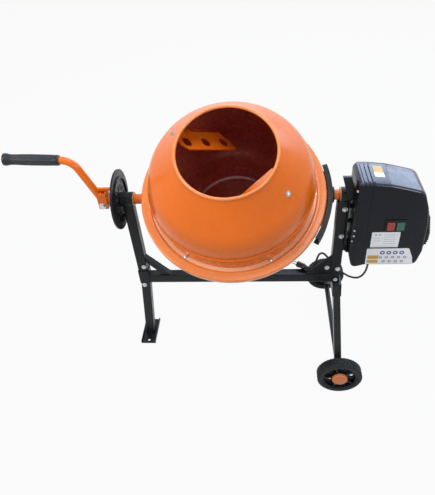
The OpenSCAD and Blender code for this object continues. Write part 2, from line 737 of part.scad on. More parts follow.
// ---------- Drive ----------
module pinion() color(STEEL) at_axis() translate([gear_mid_r - 12, 0, 0]) rotate([0, 90, 0]) difference() {
    linear_extrude(24) {
        circle(pinion_root_r);
        for (i = [0:pinion_teeth - 1]) rotate(i * 360 / pinion_teeth + 180 - 90 + drum_tilt) polygon([
            [0, -2.4], [pinion_root_r, -2.4], [pinion_tip_r, -1.2], [pinion_tip_r, 1.2], [pinion_root_r, 2.4], [0, 2.4]
        ]);
    }
    translate([0, 0, -1]) cylinder(h = 26, r = pinion_shaft_r);
}
module pinion_shaft() color(STEEL) at_axis() x_rod(gear_mid_r - 18, drive_x + pulley_w / 2 + 8, pinion_shaft_r);
module pulley(r, bore) {
    rotate([0, 90, 0]) rotate_extrude() polygon([
        [bore, -pulley_w / 2], [r, -pulley_w / 2], [r, -7], [r - groove_d, -4.5], [r - groove_d, 4.5], [r, 7],
        [r, pulley_w / 2], [bore, pulley_w / 2]
    ]);
}
module drive_pulley() color(STEEL) at_axis() translate([drive_x, 0, 0]) pulley(big_pulley_r, pinion_shaft_r);
module belt_loop(extra) {
    rise = axis_h - motor_z;
    a = asin((big_pulley_r - small_pulley_r) / rise);
    polygon(concat(
        arc([0, 0], big_pulley_r - groove_d + extra, -a, 180 + a, 40),
        arc([0, -rise], small_pulley_r - groove_d + extra, 180 + a, 360 - a, 16)
    ));
}
module drive_belt() color(BLACK) at_axis() side_plate(drive_x - 4, drive_x + 4) difference() {
    belt_loop(6.5);
    belt_loop(clear);
}
module at_motor() {
    placed() translate([motor_x, 0, motor_z]) children();
}
module motor() color(STEEL) at_motor() {
    difference() {
        union() {
            x_rod(0, motor_l, motor_r - 4);
            x_rod(8, 18, motor_r);
            x_rod(motor_l - 18, motor_l - 8, motor_r);
            for (a = [20:20:340]) rotate([a, 0, 0]) block(16, motor_l - 16, -1.5, 1.5, motor_r - 6, motor_r - 0.5);
            block(10, motor_l - 10, -34, 34, -motor_r - 2, -motor_r + 12);
        }
        x_rod(16, motor_l - 16, 30);
        x_rod(-1, motor_l + 1, rotor_r + run);
    }
}
module motor_rotor() color(STEEL) at_motor() {
    x_rod(-52, motor_l + 12, rotor_r);
    x_rod(22, motor_l - 22, 29);
    translate([drive_x - motor_x, 0, 0]) pulley(small_pulley_r, rotor_r - 1);
    x_rod(motor_l + 2, motor_l + 5, 34);
    for (a = [0:45:315]) rotate([a, 0, 0]) block(motor_l + 5, motor_l + 12, -1, 1, 6, 34);
}
// The sloping cheek that reaches from above the right bearing out to the housing
module hood_arm() {
    polygon([
        [post_in + 6, axis_h + 84], [post_in + 34, axis_h + 84], [housing_x, axis_h + 36],
        [housing_x, axis_h + 2], [post_out - 6, axis_h + 2]
    ]);
}
// A plate on the right post, with a shelf under the motor
module motor_bracket() color(BLACK) placed() {
    difference() {
        side_plate(post_out, post_out + 5) polygon([
            [-30, axis_h + 26], [30, axis_h + 26], [46, axis_h - 130], [46, shelf_z - 8], [-half_tube, shelf_z - 8],
            [-half_tube, axis_h - 40], [-30, axis_h - 6]
        ]);
        translate([0, 0, axis_h]) x_rod(post_out - 1, post_out + 6, bearing_r);
    }
    upright_plate(-30, -26) hood_arm();
    upright_plate(-26, -20) polygon([
        [post_in + 6, axis_h + 84], [post_in + 34, axis_h + 84], [post_in + 36, axis_h + 80], [post_in + 7, axis_h + 80]
    ]);
    for (z = [-60, -122]) translate([0, 20, axis_h + z]) x_rod(post_out + 5, housing_x, 8);
    block(post_out + 5, motor_x + motor_l, -36, 36, shelf_z, shelf_z + 4);
    block(post_out + 5, post_out + 9, -20, 46, shelf_z - 8, shelf_z + 30);
}

// ---------- Motor housing ----------
// The outline from the front, drawn in by inset on every side
module housing_front(inset) {
    polygon([
        [housing_x + 11 + inset, housing_z - corner_drop + inset], [housing_x + 52, housing_z + inset],
        [housing_x1 - 2 - inset, housing_z + inset], [housing_x1 + 11 - inset, housing_z + 58],
        [housing_x1 + 9 - inset, axis_h - 76], [housing_x1 - 1 - inset, axis_h - 12],
        [housing_x1 - 20 - inset, housing_top - top_drop - 3 - inset], [housing_x1 - 34 - inset, housing_top - top_drop + 8 - inset],
        [housing_x1 - 80, housing_top - 19 - inset], [housing_x + 100, housing_top - 7 - inset],
        [housing_x + 40, housing_top - inset], [housing_x + 10 + inset, housing_top + 2 - inset],
        [housing_x + inset, housing_top - 10], [housing_x + inset, housing_z + 40]
    ]);
}
module vent_outline(inset) {
    polygon([
        [housing_x1 - 6, axis_h - 22 - inset], [housing_x1 + 13 - inset, axis_h - 36 - inset], [housing_x1 + vent_l - inset, axis_h - 127],
        [housing_x1 + vent_l - inset, axis_h - 158], [housing_x1 + 20 - inset, housing_z + 56 + inset],
        [housing_x1 - 6, housing_z + 38 + inset]
    ]);
}
module housing_side(inset, drop) {
    r = 14 - inset;
    polygon(concat(
        arc([half_d - 14, housing_z - drop + 14], r, -90, 0, 4),
        arc([half_d - 30, housing_top - 24], 30 - inset, 0, 90, 5),
        arc([-half_d + 14, housing_top - 8], r, 90, 180, 4),
        arc([-half_d + 14, housing_z - drop + 14], r, 180, 270, 4)
    ));
}
module housing_solid(inset, x0, x1, drop) {
    intersection() {
        upright_plate(-half_d - 1, half_d + 1) housing_front(inset);
        side_plate(x0, x1) housing_side(inset, drop);
    }
}
module housing_back() color(PLASTIC) placed() difference() {
    union() {
        housing_solid(0, housing_x - 1, split_x, corner_drop);
        for (i = [0:2]) intersection() {
            translate([0, 0, 3]) upright_plate(-half_d + 16, half_d - 32) housing_front(0);
            side_plate(housing_x + 6 + i * 14, housing_x + 13 + i * 14) translate([0, 3]) housing_side(0, 0);
        }
    }
    housing_solid(skin, housing_x, split_x + 1, corner_drop);
    translate([0, 0, axis_h]) x_rod(housing_x - 2, housing_x + 6, 40);
    block(housing_x - 2, housing_x + 6, -38, 48, shelf_z - 10, shelf_z + 32);
}
module housing_cover() color(PLASTIC) placed() difference() {
    union() {
        housing_solid(0, split_x, housing_x1 + 20, 0);
        upright_plate(-52, 44) vent_outline(0);
    }
    housing_solid(skin, split_x - 1, housing_x1 + 21, 0);
    upright_plate(-49, 41) vent_outline(skin);
    for (z = [housing_z + 82:12:axis_h - 46]) block(housing_x1 + 12, housing_x1 + vent_l + 1, -42, 34, z, z + 5);
    block(switch_x + 3, switch_x + switch_w - 3, -half_d - 1, -half_d + skin + 1, switch_z + 3, switch_z + switch_h - 3);
    translate([gland_x, gland_y, housing_z - 1]) cylinder(h = skin + 2, r = 8);
}
module capacitor() color("#d8dadd") placed() translate([motor_x + 20, half_d - 26, motor_z + motor_r + 26]) {
    x_rod(0, 70, 17);
    block(4, 10, -6, 23, -20, 20);
}
module switch_box() color(BLACK) placed() difference() {
    union() {
        block(switch_x, switch_x + switch_w, -half_d - 4, -half_d, switch_z, switch_z + switch_h);
        block(switch_x + 3, switch_x + switch_w - 3, -half_d, -half_d + 34, switch_z + 3, switch_z + switch_h - 3);
    }
    for (x = button_xs) {
        block(x - clear, x + button_w + clear, -half_d - 5, -half_d + 14, button_z - clear, button_z + button_h + clear);
    }
}
module button(x) {
    block(x, x + button_w, -half_d - 8, -half_d + 11, button_z, button_z + button_h);
}
module stop_button() color("#c8282d") placed() button(button_xs[0]);
module start_button() color("#1f8a3e") placed() button(button_xs[1]);
module label_plates() color("#e9ebe6") placed() {
    block(housing_x + 58, housing_x + 164, -half_d - 0.6, -half_d, axis_h - 164, axis_h - 100);
    block(housing_x + 50, housing_x + 204, -half_d - 0.6, -half_d, housing_z + 8, axis_h - 170);
}
module cord_gland() color(PLASTIC) placed() translate([gland_x, gland_y, housing_z]) {
    difference() {
        union() {
            translate([0, 0, -3]) cylinder(h = 3, r = 13, $fn = 6);
            cylinder(h = skin + 8, r = 8);
            translate([0, 0, -10]) cylinder(h = 7, r = 9);
            translate([0, 0, -30]) cylinder(h = 20, r1 = 5, r2 = 8);
        }
        translate([0, 0, -31]) cylinder(h = 50, r = cord_r);
    }
}

// ---------- Power cord ----------
function spline(p, i, t) = let (
    a = p[max(i - 1, 0)], b = p[i], c = p[i + 1], d = p[min(i + 2, len(p) - 1)]
) 0.5 * (2 * b + (c - a) * t + (2 * a - 5 * b + 4 * c - d) * t * t + (3 * b - a - 3 * c + d) * t * t * t);
function heading(line, i) = unit(line[min(i + 1, len(line) - 1)] - line[max(i - 1, 0)]);
// Each ring's side vector is the last one, turned as little as the bend allows
function sides(line, i, side) = i == len(line) ? [] : let (
    h = heading(line, i),
    s = unit(side - h * (side * h))
) concat([s], sides(line, i + 1, s));
module sweep(line, r, n) {
    side = sides(line, 0, [0, 1, 0]);
    last = len(line) - 1;
    polyhedron(
        points = [for (i = [0:last]) for (j = [0:n - 1]) let (h = heading(line, i))
            line[i] + r * (side[i] * cos(j * 360 / n) + cross(h, side[i]) * sin(j * 360 / n))],
        faces = concat(
            [[for (j = [0:n - 1]) j]],
            [for (i = [0:last - 1]) for (j = [0:n - 1]) let (k = (j + 1) % n)
                [i * n + j, (i + 1) * n + j, (i + 1) * n + k, i * n + k]],
            [[for (j = [n - 1:-1:0]) last * n + j]]
        )
    );
}
module power_cord() color(BLACK) placed() {
    line = concat([for (i = [0:len(CORD) - 2]) for (t = [0, 0.5]) spline(CORD, i, t)], [CORD[len(CORD) - 1]]);
    sweep(line, cord_r, 8);
}
module cord_plug() color(BLACK) placed() translate(plug_at) {
    rotate([0, 0, plug_turn]) rotate([0, 90, 0]) {
        cylinder(h = 16, r1 = 5.5, r2 = 9);
        translate([0, 0, 16]) cylinder(h = plug_l - 16, r = plug_r);
        for (y = [-6, 6]) translate([0, y, plug_l]) cylinder(h = 18, r = 2.3);
    }
}

crossbar();
left_post();
right_post();
left_leg();
foot_plate();
left_brace();
right_gusset();
leg_bracket();
front_wheel_leg();
rear_wheel_leg();
wheel_axle();
frame_bolts();
front_tyre();
front_rim();
front_hub_cap();
rear_tyre();
rear_rim();
rear_hub_cap();
axis_bearings();
bearing_bushes();
locking_disc();
yoke();
yoke_shaft();
shaft_nut();
shaft_bushes();
gear_guard();
handle_clevis();
handle_pin();
handle_tube();
handle_grip();
handle_spring();
lock_pawl();
drum_basin();
drum_cone();
ring_cover();
ring_gear();
ring_bolts();
drum_hub();
drum_bearings();
hub_cover();
left_paddle();
right_paddle();
paddle_bolts();
pinion();
pinion_shaft();
drive_pulley();
drive_belt();
motor();
motor_rotor();
motor_bracket();
capacitor();
housing_back();
housing_cover();
switch_box();
stop_button();
start_button();
label_plates();
cord_gland();
power_cord();
cord_plug();
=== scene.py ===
import bpy
import bmesh
import json
import math
from mathutils import Matrix, Vector


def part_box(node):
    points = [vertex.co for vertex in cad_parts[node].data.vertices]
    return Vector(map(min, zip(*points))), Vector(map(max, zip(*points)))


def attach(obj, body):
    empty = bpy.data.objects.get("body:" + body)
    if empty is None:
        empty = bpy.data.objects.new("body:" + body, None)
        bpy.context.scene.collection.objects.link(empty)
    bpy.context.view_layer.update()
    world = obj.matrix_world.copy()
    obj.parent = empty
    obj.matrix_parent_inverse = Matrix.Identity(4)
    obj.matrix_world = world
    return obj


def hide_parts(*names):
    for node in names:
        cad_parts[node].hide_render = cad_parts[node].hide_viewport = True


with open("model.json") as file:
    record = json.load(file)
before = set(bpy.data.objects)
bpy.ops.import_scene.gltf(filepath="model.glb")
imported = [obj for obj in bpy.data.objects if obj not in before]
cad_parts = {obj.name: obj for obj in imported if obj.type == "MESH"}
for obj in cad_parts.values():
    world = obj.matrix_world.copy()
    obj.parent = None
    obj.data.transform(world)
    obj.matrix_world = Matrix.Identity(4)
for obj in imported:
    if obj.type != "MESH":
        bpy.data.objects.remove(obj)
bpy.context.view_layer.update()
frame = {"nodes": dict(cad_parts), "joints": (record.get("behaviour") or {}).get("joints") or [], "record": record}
nodes = frame["nodes"]
joints = {j["name"]: j for j in frame["joints"]}

# The drum's own frame: its origin is on the tilt axis, and +Z runs out through the mouth
TILT_AT = Vector(joints["drum_tilt"]["pos_m"])
DRUM_AXIS = Vector(joints["drum_spin"]["axis"]).normalized()
DRUM_X = TILT_AT.x
DRUM = Matrix.Translation(TILT_AT) @ Vector((0, 0, 1)).rotation_difference(DRUM_AXIS).to_matrix().to_4x4()
MM = 0.001
HARD_ANGLE = 32  # degrees: faces that meet at more than this keep a hard edge


# ---------- Camera ----------
LENS_MM = 35.664
CAMERA_AT = (DRUM_X + 0.108629, -1.344201, 1.624205)
YAW, PITCH, ROLL = 7.512, 40.391, -5.568


def look(yaw, pitch, roll):
    """The camera's turn, from angles in radians."""
    forward = Vector((-math.sin(yaw) * math.cos(pitch), math.cos(yaw) * math.cos(pitch), -math.sin(pitch)))
    right = Vector((math.cos(yaw), math.sin(yaw), 0))
    up = right.cross(forward)
    right2 = math.cos(roll) * right + math.sin(roll) * up
    up2 = math.cos(roll) * up - math.sin(roll) * right
    return Matrix((right2, up2, -forward)).transposed()


camera_data = bpy.data.cameras.new("camera")
camera_data.sensor_width = 36
camera_data.lens = LENS_MM
camera_data.clip_end = 30
camera = bpy.data.objects.new("camera", camera_data)
bpy.context.scene.collection.objects.link(camera)
camera.matrix_world = Matrix.Translation(CAMERA_AT) @ look(
    math.radians(YAW), math.radians(PITCH), math.radians(ROLL)
).to_4x4()
bpy.context.scene.camera = camera


# ---------- Node helpers ----------
def material(name):
    m = bpy.data.materials.new(name)
    m.use_nodes = True
    return m, m.node_tree, m.node_tree.nodes["Principled BSDF"]


def node(tree, kind, **values):
    n = tree.nodes.new(kind)
    for key, value in values.items():
        if key in n.inputs:
            n.inputs[key].default_value = value
        else:
            setattr(n, key, value)
    return n


def noise(tree, scale, detail, rough=0.5):
    coords = node(tree, "ShaderNodeTexCoord")
    n = node(tree, "ShaderNodeTexNoise", Scale=scale, Detail=detail, Roughness=rough)
    tree.links.new(coords.outputs["Object"], n.inputs["Vector"])
    return n.outputs["Fac"]


def span(tree, value, low, high, out_low, out_high):
    """The value carried over from one range to another."""
    n = node(tree, "ShaderNodeMapRange")
    tree.links.new(value, n.inputs["Value"])
    for key, number in (("From Min", low), ("From Max", high), ("To Min", out_low), ("To Max", out_high)):
        n.inputs[key].default_value = number
    return n.outputs["Result"]


def mix(tree, factor, a, b):
    n = node(tree, "ShaderNodeMix", data_type="RGBA")
    for socket, value in ((n.inputs[0], factor), (n.inputs[6], a), (n.inputs[7], b)):
        if isinstance(value, (int, float, tuple)):
            socket.default_value = value
        else:
            tree.links.new(value, socket)
    return n.outputs[2]


def math_node(tree, operation, a, b):
    n = node(tree, "ShaderNodeMath", operation=operation)
    for socket, value in zip(n.inputs, (a, b)):
        if isinstance(value, (int, float)):
            socket.default_value = value
        else:
            tree.links.new(value, socket)
    return n.outputs[0]


def bump(tree, shader, height, strength, distance):
    n = node(tree, "ShaderNodeBump", Strength=strength, Distance=distance)
    tree.links.new(height, n.inputs["Height"])
    tree.links.new(n.outputs["Normal"], shader.inputs["Normal"])


def rgba(colour, gain=1.0):
    return tuple(min(1.0, c * gain) for c in colour) + (1.0,)


def finish_of(name, base, rough, spots, grain, metallic=0.0, coat=0.0, patch=9, depth=0.0001, ripple=0.0,
              dust=None, dust_share=0.0, coat_rough=0.08, specular=0.5):
    """A base colour with soft patches, a fine grain, a varying gloss, and a thin dust film in places."""
    m, tree, shader = material(name)
    patches = span(tree, noise(tree, patch, 4), 0.35, 0.65, 0, 1)
    colour = mix(tree, patches, rgba(base, 1 - spots), rgba(base, 1 + spots))
    if dust:
        film = span(tree, noise(tree, patch * 3, 6, 0.62), 0.52, 0.75, 0, dust_share)
        colour = mix(tree, film, colour, rgba(dust))
    tree.links.new(colour, shader.inputs["Base Color"])
    gloss = span(tree, noise(tree, patch * 4, 5), 0.3, 0.7, max(0.02, rough - 0.06), rough + 0.06)
    tree.links.new(gloss, shader.inputs["Roughness"])
    shader.inputs["Metallic"].default_value = metallic
    shader.inputs["Coat Weight"].default_value = coat
    shader.inputs["Coat Roughness"].default_value = coat_rough
    shader.inputs["Specular IOR Level"].default_value = specular
    fine = noise(tree, grain, 2)
    if ripple:
        fine = math_node(tree, "ADD", fine, math_node(tree, "MULTIPLY", noise(tree, 14, 2), ripple))
    bump(tree, shader, fine, 0.4, depth)
    return m


PAINT = {
    # The hood's navy is a copy of the housing's black plastic for faces that look up: a painted sky reflection.
    "hood_painted_sky_sheen": finish_of("hood_painted_sky_sheen", (0.007, 0.010, 0.036), 0.22, coat=0.16, spots=0.1, grain=800,
                            depth=0.00015, ripple=3, dust=(0.03, 0.04, 0.09), dust_share=0.08, coat_rough=0.07,
                            specular=0.42),
    "orange_paint": finish_of("orange_paint", (0.80, 0.158, 0.008), 0.28, coat=0.22, spots=0.03, grain=240,
                              depth=0.00025, ripple=3, dust=(0.80, 0.36, 0.16), dust_share=0.04, coat_rough=0.12,
                              specular=0.2),
    "dark_steel": finish_of("dark_steel", (0.022, 0.024, 0.028), 0.42, metallic=0.3, spots=0.2, grain=700,
                            depth=0.0003, dust=(0.06, 0.065, 0.07), dust_share=0.1, specular=0.25),
    # A paler copy of the orange paint for the ring cover and the mouth's bead: the paleness is a painted reflection
    # of the bright surroundings.
    "pale_orange_painted_sheen": finish_of("pale_orange_painted_sheen", (0.82, 0.235, 0.050), 0.26, coat=0.45, spots=0.04, grain=240,
                             depth=0.00025, ripple=3, dust=(0.80, 0.42, 0.22), dust_share=0.10, coat_rough=0.14,
                             specular=0.25),
    # A much paler orange for the gutter's floor: a painted highlight along the valley.
    "gutter_painted_highlight": finish_of("gutter_painted_highlight", (0.86, 0.48, 0.27), 0.24, coat=0.6, spots=0.05, grain=240,
                               depth=0.00025, ripple=3, coat_rough=0.12, specular=0.25),
    "drum_inside": finish_of("drum_inside", (0.52, 0.120, 0.082), 0.26, coat=0.7, spots=0.10, patch=14, grain=260,
                             depth=0.0004, dust=(0.46, 0.12, 0.08), dust_share=0.2),
    "black_paint": finish_of("black_paint", (0.009, 0.0105, 0.013), 0.30, spots=0.2, grain=420, depth=0.0003,
                             ripple=2, dust=(0.05, 0.056, 0.066), dust_share=0.08, specular=0.22),
    "zinc_steel": finish_of("zinc_steel", (0.56, 0.57, 0.59), 0.30, metallic=1.0, spots=0.12, grain=900),
    "cast_iron": finish_of("cast_iron", (0.11, 0.11, 0.115), 0.55, metallic=0.7, spots=0.25, grain=300,
                           depth=0.0008),
    "aluminium": finish_of("aluminium", (0.58, 0.59, 0.60), 0.38, metallic=1.0, spots=0.1, grain=700),
    "bronze": finish_of("bronze", (0.45, 0.30, 0.13), 0.35, metallic=1.0, spots=0.15, grain=700),
    "tyre_rubber": finish_of("tyre_rubber", (0.011, 0.014, 0.017), 0.50, spots=0.25, grain=700, depth=0.0006,
                             dust=(0.07, 0.078, 0.086), dust_share=0.14, specular=0.2),
    "grip_rubber": finish_of("grip_rubber", (0.020, 0.025, 0.032), 0.34, spots=0.2, grain=500, depth=0.0004,
                             dust=(0.08, 0.09, 0.10), dust_share=0.10, specular=0.25),
    "belt_rubber": finish_of("belt_rubber", (0.02, 0.02, 0.02), 0.7, spots=0.2, grain=700),
    "cord_rubber": finish_of("cord_rubber", (0.030, 0.030, 0.031), 0.42, spots=0.15, grain=700),
    "black_plastic": finish_of("black_plastic", (0.009, 0.010, 0.012), 0.38, spots=0.15, grain=900, depth=0.0003,
                               dust=(0.05, 0.055, 0.06), dust_share=0.10, specular=0.2),
    "housing_plastic": finish_of("housing_plastic", (0.0060, 0.0075, 0.0125), 0.30, coat=0.1, spots=0.12, grain=800,
                                 depth=0.0002, ripple=2, dust=(0.030, 0.036, 0.050), dust_share=0.08,
                                 coat_rough=0.14, specular=0.14),
    "orange_plastic": finish_of("orange_plastic", (0.62, 0.17, 0.05), 0.42, spots=0.08, grain=700,
                                dust=(0.55, 0.38, 0.28), dust_share=0.3),
    "white_plastic": finish_of("white_plastic", (0.70, 0.71, 0.70), 0.4, spots=0.05, grain=700),
    "red_plastic": finish_of("red_plastic", (0.33, 0.035, 0.035), 0.38, spots=0.08, grain=700),
    "green_plastic": finish_of("green_plastic", (0.03, 0.115, 0.085), 0.38, spots=0.08, grain=700),
    "label_film": finish_of("label_film", (0.84, 0.87, 0.90), 0.35, spots=0.03, grain=500),
    "label_blue": finish_of("label_blue", (0.035, 0.07, 0.30), 0.35, spots=0.05, grain=500),
    "label_yellow": finish_of("label_yellow", (0.60, 0.35, 0.05), 0.35, spots=0.05, grain=500),
    "label_grey": finish_of("label_grey", (0.28, 0.30, 0.33), 0.35, spots=0.05, grain=500),
}
for part in frame["record"]["subparts"]:
    mesh = nodes[part["node"]].data
    mesh.materials.clear()
    mesh.materials.append(PAINT[part["material_slot"]])


# ---------- Mesh helpers ----------
def ring_of(bm, points):
    return [bm.verts.new(p) for p in points]


def bridge(bm, a, b):
    """Faces between two closed rings with the same number of points."""
    for i in range(len(a)):
        j = (i + 1) % len(a)
        bm.faces.new((a[i], a[j], b[j], b[i]))


def lathe(bm, profile, place, steps, mats=None, closed=True):
    """Turns (radius, height) points in millimetres about the local Z axis. Radius 0 makes a pole."""
    loops = []
    for r, z in profile:
        if r <= 0:
            loops.append([bm.verts.new(place @ Vector((0, 0, z * MM)))] * steps)
        else:
            angles = (2 * math.pi * k / steps for k in range(steps))
            loops.append(ring_of(bm, [
                place @ Vector((r * MM * math.cos(a), r * MM * math.sin(a), z * MM)) for a in angles
            ]))
    count = len(profile) if closed else len(profile) - 1
    for i in range(count):
        a, b = loops[i], loops[(i + 1) % len(loops)]
        for k in range(steps):
            j = (k + 1) % steps
            corners = [a[k], a[j], b[j], b[k]]
            unique = list(dict.fromkeys(corners))
            if len(unique) > 2:
                f = bm.faces.new(unique)
                f.material_index = mats[i] if mats else 0


def arc(cx, cy, r, a0, a1, n):
    """Points on an arc from a0 to a1 degrees, in n steps."""
    angles = [math.radians(a0 + (a1 - a0) * i / n) for i in range(n + 1)]
    return [(cx + r * math.cos(a), cy + r * math.sin(a)) for a in angles]


def tube(bm, points, radius, sides):
    """A round tube along points in metres, closed at both ends."""
    side = None
    loops = []
    last = len(points) - 1
    angles = [2 * math.pi * k / sides for k in range(sides)]
    for i, p in enumerate(points):
        heading = (points[min(i + 1, last)] - points[max(i - 1, 0)]).normalized()
        if side is None:
            side = heading.orthogonal().normalized()
        side = (side - heading * side.dot(heading)).normalized()
        other = heading.cross(side)
        loops.append(ring_of(bm, [p + radius * (side * math.cos(a) + other * math.sin(a)) for a in angles]))
    for a, b in zip(loops, loops[1:]):
        bridge(bm, a, b)
    bm.faces.new(loops[0][::-1])
    bm.faces.new(loops[-1])


def sharp(mesh, degrees):
    """Smooth shading, with a hard line where faces meet at more than this angle."""
    for p in mesh.polygons:
        p.use_smooth = True
    mesh.set_sharp_from_angle(angle=math.radians(degrees))


def piece(name, bm, mats, body, replaces=(), corner=HARD_ANGLE, bevel=0.0, segments=2, merge=True):
    """A visible piece made of the mesh, which rides on a body and stands for the CAD nodes it replaces."""
    if merge:
        bmesh.ops.remove_doubles(bm, verts=bm.verts, dist=0.000005)
    bmesh.ops.recalc_face_normals(bm, faces=bm.faces)
    mesh = bpy.data.meshes.new(name)
    bm.to_mesh(mesh)
    bm.free()
    for m in mats:
        mesh.materials.append(PAINT[m])
    sharp(mesh, corner)
    ob = bpy.data.objects.new(name, mesh)
    bpy.context.scene.collection.objects.link(ob)
    if bevel:
        soften(ob, bevel, segments, corner)
    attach(ob, body)
    if replaces:
        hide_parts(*replaces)
    return ob


def soften(ob, width, segments, corner):
    """Rounds every edge where faces meet at more than corner degrees."""
    mod = ob.modifiers.new("soft_edges", "BEVEL")
    mod.width = width
    mod.segments = segments
    mod.limit_method = "ANGLE"
    mod.angle_limit = math.radians(corner)
    mod.use_clamp_overlap = True
    mod.harden_normals = True


SLOT_OF = {p["node"]: p["material_slot"] for p in frame["record"]["subparts"]}
BODY_OF = {n: b for b, ns in frame["record"]["behaviour"]["bodies"].items() for n in ns}


def worked(name, width, segments=2, mat=None):
    """A merged copy of a CAD node with its edges rounded, as cut, bent or moulded edges are."""
    bm = bmesh.new()
    bm.from_mesh(nodes[name].data)
    bmesh.ops.remove_doubles(bm, verts=bm.verts, dist=0.00002)
    bmesh.ops.dissolve_degenerate(bm, edges=bm.edges, dist=0.00001)
    bmesh.ops.dissolve_limit(bm, angle_limit=math.radians(0.6), verts=bm.verts, edges=bm.edges, delimit={"NORMAL"})
    piece(name + "_body", bm, [mat or SLOT_OF[name]], BODY_OF[name], (name,), bevel=width,
          segments=segments, merge=False)


def mm(x, y, z):
    """A point given in millimetres from the spot on the floor below the drum's middle."""
    return Vector((DRUM_X + x * MM, y * MM, z * MM))


def size_of(name):
    """A CAD node's box in the same millimetres: low x, y and z, then high x, y and z."""
    low, high = (Vector(v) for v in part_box(name))
    return (low.x - DRUM_X) / MM, low.y / MM, low.z / MM, (high.x - DRUM_X) / MM, high.y / MM, high.z / MM


# ---------- Repeats, grown by Geometry Nodes ----------
def new_tree(name, sizes):
    tree = bpy.data.node_groups.new(name, "GeometryNodeTree")
    tree.interface.new_socket("Places", in_out="INPUT", socket_type="NodeSocketGeometry")
    for label, value in sizes.items():
        tree.interface.new_socket(label, in_out="INPUT", socket_type="NodeSocketFloat").default_value = value
    tree.interface.new_socket("Finish", in_out="INPUT", socket_type="NodeSocketMaterial")
    tree.interface.new_socket("Geometry", in_out="OUTPUT", socket_type="NodeSocketGeometry")
    return tree, node(tree, "NodeGroupInput")


def wire(tree, pairs):
    for source, target in pairs:
        tree.links.new(source, target)


def lifted(tree, mesh, height):
    """The mesh raised along Z by a socket's value."""
    move = node(tree, "GeometryNodeTransform")
    up = node(tree, "ShaderNodeCombineXYZ")
    wire(tree, [
        (height, up.inputs["Z"]), (up.outputs[0], move.inputs["Translation"]), (mesh, move.inputs["Geometry"]),
    ])
    return move.outputs[0]


def scatter(tree, source, shape):
    """Puts the shape at every place, turned by the place's own turn, as real mesh with its finish."""
    turn = node(tree, "GeometryNodeInputNamedAttribute", data_type="FLOAT_VECTOR", Name="turn")
    euler = node(tree, "FunctionNodeEulerToRotation")
    spread = node(tree, "GeometryNodeInstanceOnPoints")
    solid = node(tree, "GeometryNodeRealizeInstances")
    coat = node(tree, "GeometryNodeSetMaterial")
    out = node(tree, "NodeGroupOutput")
    wire(tree, [
        (source.outputs["Places"], spread.inputs["Points"]), (shape, spread.inputs["Instance"]),
        (turn.outputs["Attribute"], euler.inputs[0]), (euler.outputs[0], spread.inputs["Rotation"]),
        (spread.outputs[0], solid.inputs[0]), (solid.outputs[0], coat.inputs["Geometry"]),
        (source.outputs["Finish"], coat.inputs["Material"]), (coat.outputs[0], out.inputs[0]),
    ])


def half(tree, value):
    return math_node(tree, "MULTIPLY", value, 0.5)


def bolt_tree():
    """A washer, and a hexagon head with a turned chamfer."""
    tree, source = new_tree("hex_bolts", {"Head Radius": 0.007, "Head Height": 0.005, "Washer Radius": 0.009,
                                          "Washer Thickness": 0.0015})
    size = source.outputs
    washer = node(tree, "GeometryNodeMeshCylinder", Vertices=28)
    head = node(tree, "GeometryNodeMeshCylinder", Vertices=6)
    crown = node(tree, "GeometryNodeMeshCone", Vertices=24)
    top = math_node(tree, "ADD", size["Washer Thickness"], size["Head Height"])
    wire(tree, [
        (size["Washer Radius"], washer.inputs["Radius"]), (size["Washer Thickness"], washer.inputs["Depth"]),
        (size["Head Radius"], head.inputs["Radius"]), (size["Head Height"], head.inputs["Depth"]),
        (math_node(tree, "MULTIPLY", size["Head Radius"], 0.86), crown.inputs["Radius Bottom"]),
        (math_node(tree, "MULTIPLY", size["Head Radius"], 0.62), crown.inputs["Radius Top"]),
        (math_node(tree, "MULTIPLY", size["Head Radius"], 0.12), crown.inputs["Depth"]),
    ])
    join = node(tree, "GeometryNodeJoinGeometry")
    head_middle = math_node(tree, "ADD", size["Washer Thickness"], half(tree, size["Head Height"]))
    wire(tree, [
        (lifted(tree, washer.outputs[0], half(tree, size["Washer Thickness"])), join.inputs[0]),
        (lifted(tree, head.outputs[0], head_middle), join.inputs[0]),
        (lifted(tree, crown.outputs[0], top), join.inputs[0]),
    ])
    scatter(tree, source, join.outputs[0])
    return tree


def block_tree():
    """A plain block that stands on its place."""
    tree, source = new_tree("raised_blocks", {"Length": 0.008, "Width": 0.014, "Height": 0.002})
    size = source.outputs
    cube = node(tree, "GeometryNodeMeshCube")
    shape = node(tree, "ShaderNodeCombineXYZ")
    wire(tree, [
        (size["Length"], shape.inputs["X"]), (size["Width"], shape.inputs["Y"]),
        (size["Height"], shape.inputs["Z"]), (shape.outputs[0], cube.inputs["Size"]),
    ])
    scatter(tree, source, lifted(tree, cube.outputs[0], half(tree, size["Height"])))
    return tree


def grown(name, tree, places, sizes, finish, body, replaces=()):
    """The tree's shape at each of the places, which are (point, Euler turn) pairs."""
    carrier = bpy.data.meshes.new(name + "_places")
    carrier.from_pydata([p for p, turn in places], [], [])
    turns = carrier.attributes.new("turn", "FLOAT_VECTOR", "POINT")
    for row, (p, turn) in zip(turns.data, places):
        row.vector = turn
    ob = bpy.data.objects.new(name, carrier)
    bpy.context.scene.collection.objects.link(ob)
    mod = ob.modifiers.new("copies", "NODES")
    mod.node_group = tree
    for item in tree.interface.items_tree:
        if item.in_out == "INPUT" and item.name in sizes:
            mod[item.identifier] = sizes[item.name]
        if item.in_out == "INPUT" and item.name == "Finish":
            mod[item.identifier] = PAINT[finish]
    mesh = bpy.data.meshes.new_from_object(ob.evaluated_get(bpy.context.evaluated_depsgraph_get()))
    ob.modifiers.clear()
    ob.data = mesh
    sharp(mesh, HARD_ANGLE)
    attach(ob, body)
    if replaces:
        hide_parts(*replaces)


def facing(aim, spin=0.0):
    """The turn that points a bolt's head along aim."""
    turn = Vector(aim).to_track_quat("Z", "Y") @ Matrix.Rotation(math.radians(spin), 3, "Z").to_quaternion()
    return turn.to_euler()


BOLTS = bolt_tree()
BLOCKS = block_tree()


